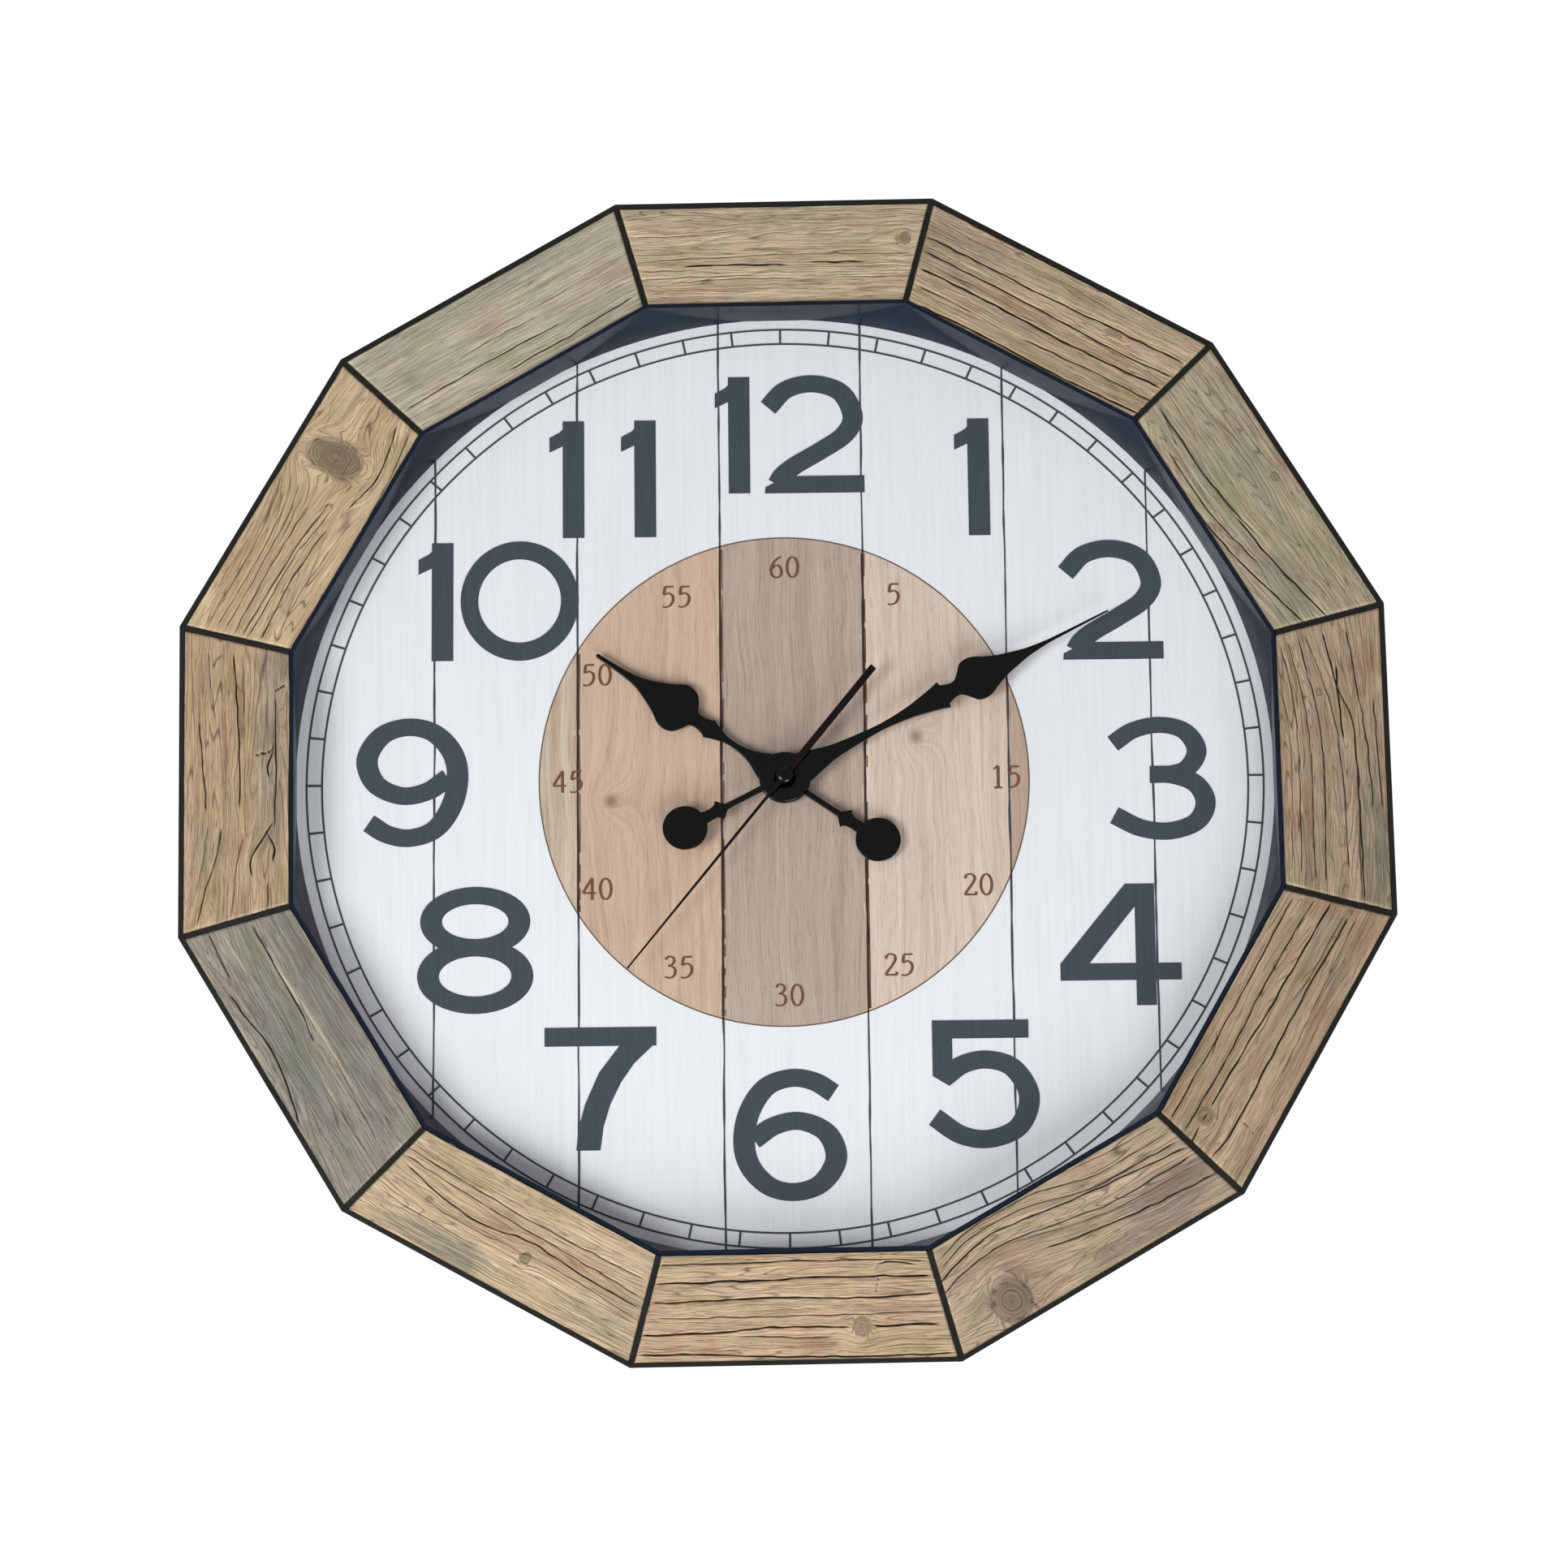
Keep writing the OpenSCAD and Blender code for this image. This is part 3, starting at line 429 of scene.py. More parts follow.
def battery_wrap(name, positive_x):
    """Printed battery sleeve: olive body, copper-coloured end and bare steel nub."""
    s = Shader(name, Coat_Weight=0.4, Coat_Roughness=0.15)
    across = s.node("ShaderNodeSeparateXYZ", {0: s.place()}).outputs["X"]
    band = s.spread(across, positive_x - 13.3, positive_x - 13.0)
    steel = s.spread(across, positive_x - 1.4, positive_x - 1.2)
    scuffs = s.noise(s.place((1, 0.15, 0.15)), 0.7, 4)
    body = s.mix(s.spread(scuffs, 0.4, 0.75), srgb(62, 78, 52), srgb(86, 100, 72))
    body = s.mix(steel, s.mix(band, body, srgb(196, 124, 66)), srgb(188, 188, 186))
    s.link(s.math("MAXIMUM", steel, s.math("MULTIPLY", band, 0.6)), "Metallic")
    return s.finish(body, s.spread(scuffs, 0.3, 0.8, 0.26, 0.42), scuffs, 0.02)


def dial_white(name):
    """White printed planks with faint upright brush streaks."""
    s = Shader(name, Specular_IOR_Level=0.3)
    streaks = s.noise(s.place((1.0, 1.0, 0.03)), 0.55, 5, 0.65)
    cloud = s.noise(s.place(), 0.012, 3)
    base = s.mix(s.spread(streaks, 0.3, 0.62), srgb(233, 238, 243), srgb(242, 246, 250))
    base = s.mix(s.spread(cloud, 0.35, 0.65, 0, 0.4), base, srgb(232, 235, 246))
    return s.finish(base, s.spread(streaks, 0.3, 0.7, 0.46, 0.56), streaks, 0.012)


def ink(name, tone):
    """Printed ink that lets a little of the sheet's streaks through."""
    s = Shader(name, Specular_IOR_Level=0.3)
    streaks = s.noise(s.place((1.0, 1.0, 0.05)), 0.7, 4, 0.65)
    base = s.mix(s.spread(streaks, 0.35, 0.7), srgb(*tone), shade(tone, 1.05, 2))
    return s.finish(base, s.spread(streaks, 0.3, 0.7, 0.42, 0.54), streaks, 0.008)


def printed_wood(name, light, dark, pitch, seed, knot=None, bands=0.5):
    """A printed plank with upright grain `pitch` lines a millimetre, and maybe one knot."""
    s = Shader(name, Specular_IOR_Level=0.3)
    where = s.place()
    shifted = s.node("ShaderNodeVectorMath", {0: where, 1: (seed * 97.0, 0, seed * 31.0)},
                     operation="ADD").outputs[0]
    sway = s.noise(s.place((0.02, 0.02, 0.012), shifted), 1.0, 2)
    if knot:
        away = s.node("ShaderNodeVectorMath", {0: where, 1: knot}, operation="DISTANCE")
        near = s.spread(away.outputs["Value"], 2.0, 26.0, 1.0, 0.0)
        sway = s.math("ADD", sway, s.math("MULTIPLY", s.math("POWER", near, 2.5), 1.2))
    lean = s.node("ShaderNodeCombineXYZ", {0: s.math("MULTIPLY", sway, 14.0)}).outputs[0]
    bent = s.node("ShaderNodeVectorMath", {0: shifted, 1: lean}, operation="ADD").outputs[0]
    rings = s.noise(s.place((0.16, 0.16, 0.004), bent), 1.0, 3, 0.6)
    lines = s.noise(s.place((pitch, pitch, 0.012), bent), 1.0, 4, 0.7)
    pores = s.noise(s.place((2.2, 2.2, 0.09), shifted), 1.0, 2, 0.6)
    base = s.mix(s.spread(rings, 0.35, 0.65, 0, bands), srgb(*light), srgb(*dark))
    base = s.mix(s.spread(lines, 0.5, 0.68, 0, 0.6), base, shade(dark, 0.88))
    base = s.mix(s.spread(pores, 0.58, 0.72, 0, 0.45), base, shade(dark, 0.74))
    base = s.mix(s.spread(pores, 0.42, 0.3, 0, 0.35), base, shade(light, 1.1, most=250))
    if knot:
        heart = s.spread(away.outputs["Value"], 1.2, 5.0, 0.8, 0.0)
        base = s.mix(heart, base, shade(dark, 0.68))
    return s.finish(base, s.spread(lines, 0.3, 0.7, 0.42, 0.54), lines, 0.01)


def weathered_wood(name, light, dark, grey, grain):
    """Weathered softwood. Its mesh carries the grain's course and the marks on it."""
    s = Shader(name, Specular_IOR_Level=0.22)
    course = s.attribute("grain_course")
    marks = s.node("ShaderNodeSeparateColor", {0: s.attribute("marks", "Color")})
    crack = s.spread(marks.outputs[0], 0.18, 0.55)
    weather, knot = marks.outputs[1:]
    bare = s.attribute("marks", "Alpha")

    def grain_noise(along, across, detail, rough=0.55, distortion=0.0):
        """Noise with `along` and `across` features a millimetre of the grain's course."""
        return s.noise(s.place((along, across, 1), course), 1.0, detail, rough, distortion)

    bands = grain_noise(0.006, 0.14, 3, 0.6)
    rings = grain_noise(0.012, 0.55, 4, 0.65)
    fibres = grain_noise(0.05, 2.6, 3, 0.7)
    specks = grain_noise(0.45, 1.6, 2)
    cloud = grain_noise(0.02, 0.05, 3)
    blotches = grain_noise(0.025, 0.05, 3, 0.6)
    latewood = s.contours(grain_noise(0.004, 0.07, 2, 0.5, 0.3), 30.0, 0.13)
    fine_lines = s.contours(rings, 8.0, 0.1)
    vigour = s.spread(grain_noise(0.014, 0.09, 2), 0.38, 0.62)

    wood = s.mix(s.spread(bands, 0.32, 0.68), srgb(*light), srgb(*dark))
    silver = s.mix(s.spread(cloud, 0.3, 0.7), srgb(*grey), shade(grey, 1.16))
    streaks = s.spread(grain_noise(0.02, 0.5, 3), 0.3, 0.6, 0.35, 1.0)
    greyed = s.math("MAXIMUM", s.math("MULTIPLY", weather, streaks), s.spread(cloud, 0.6, 0.85, 0, 0.3))
    wood = s.mix(greyed, wood, silver)
    wood = s.mix(s.spread(blotches, 0.52, 0.7, 0, 0.8), wood, srgb(236, 218, 216), "MULTIPLY")
    wood = s.mix(s.spread(blotches, 0.48, 0.3, 0, 0.8), wood, srgb(222, 228, 206), "MULTIPLY")
    for figure, low, high, amount, tone in (
            (rings, 0.56, 0.72, 0.5 * grain, shade(dark, 0.7)),
            (fibres, 0.54, 0.76, 0.5 * grain, shade(dark, 0.58)),
            (fibres, 0.46, 0.26, 0.42 * grain, shade(light, 1.1, most=245)),
            (specks, 0.7, 0.8, 0.45, shade(dark, 0.6))):
        wood = s.mix(s.spread(figure, low, high, 0, amount), wood, tone)
    for lines, weak, strong, tone in (
            (latewood, 0.25 * grain, 0.9 * grain, shade(dark, 0.56)),
            (fine_lines, 0.75 * grain, 0.3 * grain, shade(dark, 0.6))):
        amount = s.math("MULTIPLY", lines, s.spread(vigour, 0, 1, weak, strong))
        wood = s.mix(amount, wood, tone)
    heart = s.mix(s.spread(rings, 0.35, 0.6), srgb(98, 86, 74), srgb(148, 132, 110))
    wood = s.mix(s.math("MULTIPLY", knot, 0.85), wood, heart)
    wood = s.mix(bare, wood, srgb(216, 199, 170))
    wood = s.mix(crack, wood, srgb(44, 32, 22))
    rough = s.spread(s.math("ADD", fibres, crack), 0.3, 1.2, 0.58, 0.86)
    grooves = s.math("SUBTRACT", fibres, s.math("ADD", latewood, fine_lines))
    return s.finish(wood, rough, grooves, 0.12)


# ---------------------------------------------------------------- wood panels

# A panel is worked out on one grid, laid out on the panel at the top. DEPTH is millimetres
# inwards from the frame's outer edge, and ALONG is millimetres clockwise from its middle.
TOP_LOW, TOP_HIGH = node_box("panel_01")
FRAME_EDGE = node_box("frame_ring")[1].y
PANEL_WIDTH = TOP_HIGH.y - TOP_LOW.y
PANEL_FALL = 2.2     # how far a panel's face falls from its inner edge to its outer edge
PANEL_BOTTOM = 60.0  # a depth beyond every panel
GRID_ROWS, GRID_COLUMNS = 200, 150
RISE, ACROSS = np.meshgrid(np.linspace(0, 1, GRID_ROWS), np.linspace(-1, 1, GRID_COLUMNS))
APOTHEM = TOP_LOW.y + PANEL_WIDTH * RISE
HALF_LENGTH = TOP_HIGH.x - (TOP_HIGH.y - APOTHEM) * math.tan(math.radians(SIDE_ANGLE / 2))
ALONG = ACROSS * HALF_LENGTH
DEPTH = FRAME_EDGE - APOTHEM
TO_EDGE = np.minimum(np.minimum(RISE, 1 - RISE) * PANEL_WIDTH, (1 - np.abs(ACROSS)) * HALF_LENGTH)


class Wood:
    """One panel's looks: tones, cracks, knots, weathered patches and bare chips."""

    def __init__(self, light, dark, grey, cracks, knots=(), patches=(), chips=(), lines=10,
                 grain=1.0):
        self.light, self.dark, self.grey = light, dark, grey
        self.cracks = cracks    # (strength, (along, depth), (along, depth), ...)
        self.knots = knots      # (along, depth, half-length, half-height, darkness)
        self.patches = patches  # (along, depth, half-length, half-height, strength)
        self.chips = chips      # (along, depth, half-length, half-height)
        self.lines = lines      # how many faint cracks are added between the strong ones
        self.grain = grain      # how strongly the fine grain shows


WOODS = [
    Wood((232, 210, 180), (201, 179, 148), (168, 160, 136), [
        (0.35, (-78, 9), (-50, 6), (-20, 9)), (0.45, (-73, 18), (-45, 18), (-15, 15)),
        (0.3, (-71, 27), (-38, 27)), (0.5, (-70, 32), (-8, 29.5), (30, 29), (72, 30)),
        (1.0, (-48, 35), (-20, 34.6), (8, 35)), (0.9, (16, 34), (48, 34)),
        (0.5, (-70, 37.5), (-38, 37)), (0.5, (-70, 42), (-30, 40.5), (-8, 41)),
        (0.3, (25, 41), (66, 40.5)), (0.5, (-52, 44), (-15, 42), (12, 43)),
        (0.3, (-40, 47.5), (2, 47.5))],
        knots=[(67, 21.5, 3.0, 3.4, 0.8)],
        patches=[(-10, 7, 60, 6, 0.55), (-60, 5, 20, 5, 0.5)],
        chips=[(-30, 5.2, 5, 1.4), (5, 14, 12, 0.7), (28, 21, 2, 1)]),
    Wood((222, 199, 167), (187, 164, 138), (152, 139, 126), [
        (0.3, (-60, 10), (-10, 8), (30, 9)), (0.9, (-75, 19.5), (0, 19), (30, 18), (75, 17)),
        (0.85, (-72, 27.5), (-20, 27), (40, 28), (73, 26.5)),
        (1.0, (-70, 37), (-35, 36), (0, 36.5), (40, 36), (71, 34.5)),
        (0.6, (-67, 46), (-32, 45)), (0.75, (-5, 45.5), (30, 44), (71, 43.5)),
        (1.0, (-60, 55), (-20, 54), (20, 54.5), (68, 52.5))],
        knots=[(35, 20.5, 4.5, 1.8, 0.5)],
        patches=[(-58, 14, 26, 9, 0.6), (-62, 30, 16, 8, 0.4), (-15, 40, 18, 4, 0.4)], lines=9),
    Wood((203, 188, 159), (176, 165, 141), (145, 141, 126), [
        (0.3, (-70, 15), (-30, 11), (5, 9)), (0.4, (-70, 34), (-40, 34)),
        (0.8, (-67, 42), (-25, 41.5), (0, 39), (18, 36)), (0.85, (4, 40), (35, 36), (74, 28.5)),
        (0.7, (-45, 51), (-5, 50), (33, 43)), (0.85, (-10, 56), (25, 51), (71, 40))],
        knots=[(-4, 11, 2.5, 2, 0.6)],
        patches=[(-25, 20, 40, 12, 0.5), (50, 38, 26, 9, 0.85), (-20, 45, 45, 9, 0.5)],
        chips=[(-38, 57, 3.6, 2.6), (-21, 57, 3.6, 2.6), (8, 57.5, 2, 1.5), (18, 57, 2.4, 1.6),
               (50, 57, 2.6, 1.6)], lines=7),
    Wood((204, 181, 155), (168, 145, 120), (131, 127, 113), [
        (0.7, (-70, 20), (-35, 15), (-8, 11.5), (28, 9.7)), (0.7, (-33, 7.5), (0, 6), (28, 5)),
        (0.8, (-68, 32), (-40, 26), (-15, 18), (38, 16.5), (75, 16)),
        (0.6, (-67, 41), (-32, 30), (0, 25), (60, 23)), (0.95, (-51, 26), (-30, 25), (-9, 23.5)),
        (0.7, (-66, 45), (-24, 36), (8, 34), (66, 35)), (0.6, (-64, 50), (-15, 41), (66, 40)),
        (0.6, (-62, 53.5), (-15, 46.5), (62, 47)), (0.5, (-60, 56), (0, 50), (60, 52)),
        (0.6, (-14, 17.5), (35, 17), (75, 17.5))],
        knots=[(-35, 35, 2, 1.5, 0.5)],
        patches=[(45, 10, 42, 8, 0.95), (20, 22, 30, 6, 0.5), (50, 40, 22, 10, 0.4)], lines=16),
    Wood((202, 177, 149), (168, 146, 119), (138, 129, 119), [
        (0.5, (-72, 17), (-30, 15), (20, 12)), (0.95, (-70, 20.5), (-12, 21.5), (53, 20), (74, 23.5)),
        (0.5, (-70, 24), (-47, 23), (-15, 24.5)), (0.95, (-72, 32), (-15, 33), (20, 34.5), (52, 35.5)),
        (0.9, (61, 35.6), (74, 35.5)), (0.75, (-70, 40), (-20, 41), (25, 40), (70, 41)),
        (0.75, (-66, 50), (-10, 49), (20, 49), (68, 50)), (0.4, (40, 27), (72, 26)),
        (1.0, (53, 35.2), (60.5, 36)), (0.5, (49, 20), (51.5, 13), (54, 7)),
        (0.6, (12, 57), (17, 50), (30, 47))],
        knots=[(56.6, 35.5, 4.2, 4.4, 0.65), (61, 57, 3, 2, 0.9)],
        patches=[(-50, 26, 20, 6, 0.4), (-55, 10, 25, 4, 0.3)],
        chips=[(-55, 38.5, 6, 0.8)], lines=18),
    Wood((205, 182, 156), (180, 160, 135), (124, 116, 111), [
        (0.8, (-75, 16), (-32, 19.5), (0, 24), (18, 28)), (0.5, (-70, 25), (-20, 27), (20, 36), (30, 39)),
        (0.7, (-70, 30), (-24, 30), (10, 36), (36, 40), (60, 37), (74, 33)),
        (0.85, (-70, 35), (-26, 39), (5, 43), (40, 47), (72, 39)),
        (0.65, (-68, 40), (-20, 41), (15, 50), (45, 51), (68, 44)),
        (0.6, (-68, 46), (-25, 46), (10, 54), (45, 54.5), (66, 49)),
        (0.5, (-64, 52), (-30, 53), (0, 57)), (0.5, (62, 11), (75, 8))],
        knots=[(45, 13.5, 10, 11, 1.0), (-24.5, 39, 2.2, 1.6, 0.7)],
        patches=[(-52, 20, 30, 12, 0.8), (-30, 9, 34, 6, 0.6), (45, 13, 19, 17, 0.4)]),
    Wood((222, 196, 165), (196, 168, 138), (167, 148, 125), [
        (0.9, (-79, 4.4), (0, 4), (40, 6), (78, 6.6)),
        (1.0, (-72, 19.5), (-52, 19), (-37, 18.7)), (1.0, (-28, 18.7), (10, 19), (40, 17), (77, 16)),
        (0.6, (-74, 25.5), (-10, 24.5), (70, 24.5)), (0.9, (-70, 34.5), (-30, 33), (15, 33.5), (72, 32)),
        (1.0, (-68, 43.5), (-20, 43.5), (20, 42.5), (70, 41.5)), (0.7, (-66, 51), (-35, 52), (68, 51)),
        (0.8, (-62, 49), (-48, 51), (-40, 49)), (0.6, (-40, 33), (-41, 43)), (0.5, (-44, 56), (-40, 46)),
        (0.6, (-20, 14), (-9, 13.5), (30, 15))],
        knots=[(-33, 18.7, 4.4, 5.0, 0.7), (49, 40.5, 2, 1.6, 0.4)],
        patches=[(-55, 30, 14, 8, 0.25)], chips=[(8, 32, 8, 0.7), (-50, 47.5, 12, 0.8)]),
    Wood((225, 201, 170), (199, 174, 142), (139, 141, 124), [
        (0.5, (-74, 23), (-40, 25), (-18, 25.5), (0, 24.5), (34, 24), (70, 28.5)),
        (0.8, (-72, 28), (-34, 29.5), (-8, 31.5), (15, 28), (34, 29), (66, 36)),
        (0.6, (-70, 33.5), (-31, 35), (0, 36), (70, 40)), (0.6, (-68, 42), (0, 41), (70, 44)),
        (0.3, (-66, 53), (70, 53)), (0.4, (-70, 8), (-30, 9)), (0.4, (48, 8), (76, 10)),
        (0.5, (20, 17), (60, 18), (74, 20)), (0.4, (36, 45), (68, 47)), (0.4, (34, 48), (66, 50))],
        knots=[(-9.7, 23, 2.6, 3.2, 0.75), (46.6, 26, 2, 1.8, 0.6)],
        patches=[(28, 9, 26, 7, 0.9), (-60, 14, 26, 8, 0.35), (-66, 30, 16, 10, 0.3)],
        chips=[(-50, 20, 2, 1.2), (10, 54, 60, 0.5)], lines=12),
    Wood((172, 165, 150), (152, 147, 137), (122, 124, 120), [
        (0.85, (-34, 4), (-7, 10), (12, 11.5), (26, 9), (45, 7.5)), (0.3, (-70, 10), (-30, 12)),
        (0.7, (47, 11.5), (60, 13), (78, 14)), (0.5, (-62, 32.5), (-30, 35), (-10, 37)),
        (0.75, (-2, 31.5), (25, 34), (70, 35)), (0.3, (-60, 46), (0, 44), (60, 46))],
        patches=[(5, 18, 40, 10, 0.8), (10, 48, 60, 7, 0.75), (-40, 40, 30, 6, 0.4)],
        chips=[(-10, 36.5, 34, 0.7), (30, 35, 10, 0.9), (62, 20, 12, 0.6)], lines=8),
    Wood((210, 185, 154), (183, 155, 124), (135, 131, 119), [
        (0.7, (-77, 9), (-60, 13), (-40, 19), (-23, 22)), (0.5, (-70, 5), (-45, 12), (-22, 15)),
        (0.7, (-18, 14), (10, 12), (33, 10)), (0.5, (30, 19), (50, 16), (70, 14.5)),
        (0.8, (-16, 31), (20, 30.5), (45, 29), (68, 27.5)), (0.4, (-12, 24), (40, 23)),
        (0.6, (-70, 27), (-48, 29), (-28, 33)), (1.0, (-52, 37), (-42, 36.5), (-30, 43), (-21, 49)),
        (1.0, (-45, 53), (-43, 48), (-36, 48.5), (-26, 43.5)), (0.8, (-26, 48.5), (10, 49), (44, 49)),
        (1.0, (13, 38), (14, 46), (19, 48.5)), (0.9, (-2, 46), (6, 45), (17, 48)),
        (0.6, (-70, 45), (-52, 45)), (1.0, (46, 48), (49, 54)), (0.5, (30, 33), (68, 32))],
        patches=[(5, 46, 55, 8, 0.75), (-36, 16, 12, 10, 0.45), (60, 48, 14, 9, 0.8)],
        chips=[(-48, 33, 9, 2.2), (-5, 41, 18, 0.8), (-12, 56, 14, 0.8), (30, 55, 22, 0.7)], lines=9),
    Wood((231, 207, 171), (198, 170, 136), (148, 136, 117), [
        (0.5, (-75, 12), (-30, 11.5), (0, 8), (16, 3.5)), (0.5, (-74, 17), (-30, 16.5), (0, 14), (19, 8)),
        (0.55, (-73, 21), (-30, 20), (0, 18), (16, 14)), (0.6, (-73, 26), (-25, 24.5), (8, 25)),
        (0.65, (-72, 30.5), (-15, 31), (14, 34)), (0.6, (-71, 34), (-25, 32.5), (10, 37)),
        (0.7, (-70, 40), (-30, 37.5), (0, 40)), (0.5, (-68, 48), (-45, 45), (-20, 46), (8, 49)),
        (0.8, (12, 43.5), (25, 47), (38, 48.5), (52, 46), (66, 43.5)),
        (0.6, (5, 56), (30, 55), (52, 53), (66, 51)), (0.5, (50, 22), (60, 32), (72, 30)),
        (0.4, (48, 12), (60, 8), (76, 10))],
        knots=[(34.6, 24.6, 9.5, 15.0, 0.95)], patches=[(-40, 45, 16, 6, 0.35)],
        chips=[(34, 43, 16, 0.8)], lines=24),
    Wood((213, 202, 180), (188, 179, 158), (155, 155, 138), [
        (0.3, (-70, 14), (-20, 11), (30, 12), (70, 13)), (0.5, (-32, 31.5), (-5, 31), (18, 32)),
        (0.7, (-68, 41), (-14, 40.5), (26, 41.5)), (0.3, (30, 34), (66, 35)),
        (0.7, (-12, 50), (25, 50), (65, 48.5)), (0.3, (-40, 55), (-8, 54.5))],
        patches=[(-50, 26, 30, 8, 0.6), (0, 6, 70, 4, 0.6), (40, 46, 30, 8, 0.4)],
        chips=[(-32.5, 33, 0.6, 3.2), (0, 17, 60, 1.0), (-30, 22, 30, 0.7)], lines=9, grain=0.45),
]


def faint_cracks(wood, seed):
    """Short faint cracks spread over a panel, between the ones that are drawn."""
    draw = np.random.default_rng(seed)
    for _ in range(wood.lines):
        start, reach = draw.uniform(-74, 40), draw.uniform(14, 60)
        depth, lean = draw.uniform(5, 56), draw.uniform(-0.02, 0.02)
        yield (draw.uniform(0.15, 0.4), (start, depth), (start + reach, depth + lean * reach))


def grid_noise(along_scale, depth_scale, seed):
    """Smooth noise over the panel's grid."""
    return lattice_noise(ALONG * along_scale, DEPTH * depth_scale, seed)


def strongest(masks):
    """The highest of several masks at each point of the grid."""
    return np.maximum.reduce([np.zeros_like(ALONG), *masks])


def mean_depth(crack):
    """The middle depth of a crack."""
    return float(np.mean([depth for _, depth in crack[1:]]))


def is_steep(crack):
    """True for a crack that runs across the panel rather than along it."""
    (x0, d0), (x1, d1) = crack[1], crack[-1]
    return abs(d1 - d0) > abs(x1 - x0)


def crack_depth(crack, along, seed):
    """Depth of a crack's line at each place along the panel, and its fading at the ends."""
    line = curve_through(crack[1:], steps=6)
    depth = np.interp(along, line[:, 0], line[:, 1])
    depth = depth + 0.35 * lattice_noise(along * 0.16, depth * 0, seed)
    inside = np.minimum(along - line[0, 0], line[-1, 0] - along)
    return depth, np.clip(inside / 5 + 0.15, 0, 1)


def crack_mask(crack, seed):
    """How much each point lies in a crack, 0 to 1."""
    strength = crack[0]
    width = 0.24 + 0.28 * strength
    if is_steep(crack):
        line = curve_through([(d, x) for x, d in crack[1:]], steps=6)
        line = line[np.argsort(line[:, 0])]
        middle = np.interp(DEPTH, line[:, 0], line[:, 1])
        inside = np.minimum(DEPTH - line[0, 0], line[-1, 0] - DEPTH)
        away = np.abs(ALONG - middle - 0.3 * lattice_noise(DEPTH * 0.4, ALONG * 0, seed))
        fade = np.clip(inside / 1.5 + 0.3, 0, 1)
    else:
        middle, fade = crack_depth(crack, ALONG, seed)
        away = np.abs(DEPTH - middle)
    uneven = 0.85 + 0.3 * grid_noise(0.2, 0.35, seed + 7)
    return strength * fade * np.exp(-(away / (width * (0.4 + 0.6 * fade) * uneven)) ** 2)


def spot(mark, seed):
    """A ragged oval from (along, depth, half-length, half-height), 1 inside and 0 outside."""
    x, d, half_x, half_d = mark[:4]
    ragged = 1 + 0.3 * grid_noise(0.12, 0.3, seed)
    away = np.hypot((ALONG - x) / half_x, (DEPTH - d) / half_d) / ragged
    return np.clip((1.25 - away) / 0.6, 0, 1)


def grain_course(wood):
    """The grain's own coordinate across a panel: it follows the cracks and parts at knots."""
    guides = [c for c in wood.cracks if not is_steep(c) and c[-1][0] - c[1][0] > 30]
    guides.sort(key=mean_depth)
    rest = [0.0, *map(mean_depth, guides), PANEL_BOTTOM]
    lines = [crack_depth(guide, ALONG[:, 0], 0)[0] for guide in guides]
    apart = np.arange(len(rest)) * 0.02
    course = np.empty_like(DEPTH)
    for column, depth in enumerate(DEPTH):
        here = [0.0, *(line[column] for line in lines), PANEL_BOTTOM]
        course[column] = np.interp(depth, np.maximum.accumulate(here + apart), rest)
    for x, d, half_x, half_d, _ in wood.knots:
        away = ((ALONG - x) / half_x) ** 2 + ((DEPTH - d) / half_d) ** 2
        parted = d + (DEPTH - d) * (1 - 1 / np.maximum(away * 1.05, 1.05))
        pull = np.exp(-away / 14) * np.clip(away - 1, 0, 1)
        course = course * (1 - pull) + (parted + course - DEPTH) * pull
        course = np.where(away < 1, d + 30 + np.sqrt(away) * half_d * 1.6, course)
    return course


def panel_marks(wood, seed):
    """Masks of a panel's cracks, weathered patches, knots and bare wood."""
    lines = [*wood.cracks, *faint_cracks(wood, seed)]
    cracks = [crack_mask(line, seed + k) for k, line in enumerate(lines)]
    patches = [mark[4] * spot(mark, seed + 40 + k) for k, mark in enumerate(wood.patches)]
    chips = [0.5 * spot(mark, seed + 60 + k) for k, mark in enumerate(wood.chips)]
    knots = []
    for x, d, half_x, half_d, darkness in wood.knots:
        ragged = 1 + 0.16 * grid_noise(2.5 / half_x, 2.5 / half_d, seed + 21)
        away = np.hypot((ALONG - x) / half_x, (DEPTH - d) / half_d) * ragged
        knots.append(darkness * np.clip((1.15 - away) / 0.45, 0, 1))
        broken = np.clip(0.6 + grid_noise(4 / half_x, 4 / half_d, seed + 23), 0, 1)
        cracks.append(0.38 * darkness * broken * np.exp(-((away - 0.9) / 0.12) ** 2))
    rubbed = np.clip(grid_noise(0.05, 0.1, seed + 9) * 2, 0, 1)
    chips.append(0.55 * np.exp(-((TO_EDGE - 0.7) / 0.45) ** 2) * rubbed)
    return strongest(cracks), strongest(patches), strongest(knots), strongest(chips)


def panel_face(wood, seed, course, crack, knot, bare):
    """How far out each point of a panel's face lies: grain, grooves and worn edges."""
    relief = 0.13 * lattice_noise(ALONG * 0.03, course * 1.3, seed) \
        + 0.10 * lattice_noise(ALONG * 0.08, course * 0.5, seed + 1) \
        + 0.15 * grid_noise(0.02, 0.05, seed + 2) - 0.38
    ragged = 0.75 + 0.5 * grid_noise(0.3, 0.3, seed + 3)
    worn = np.exp(-(TO_EDGE / (0.4 * ragged)) ** 2)
    relief = relief - 0.9 * crack - 0.4 * worn + 0.18 * knot - 0.25 * np.clip(bare, 0, 1)
    notches = [spot(mark, seed + 80 + k) for k, mark in enumerate(wood.chips) if mark[1] > 54]
    relief = np.minimum(relief - 0.5 * strongest(notches), 0)
    return TOP_HIGH.z - PANEL_FALL * RISE + relief


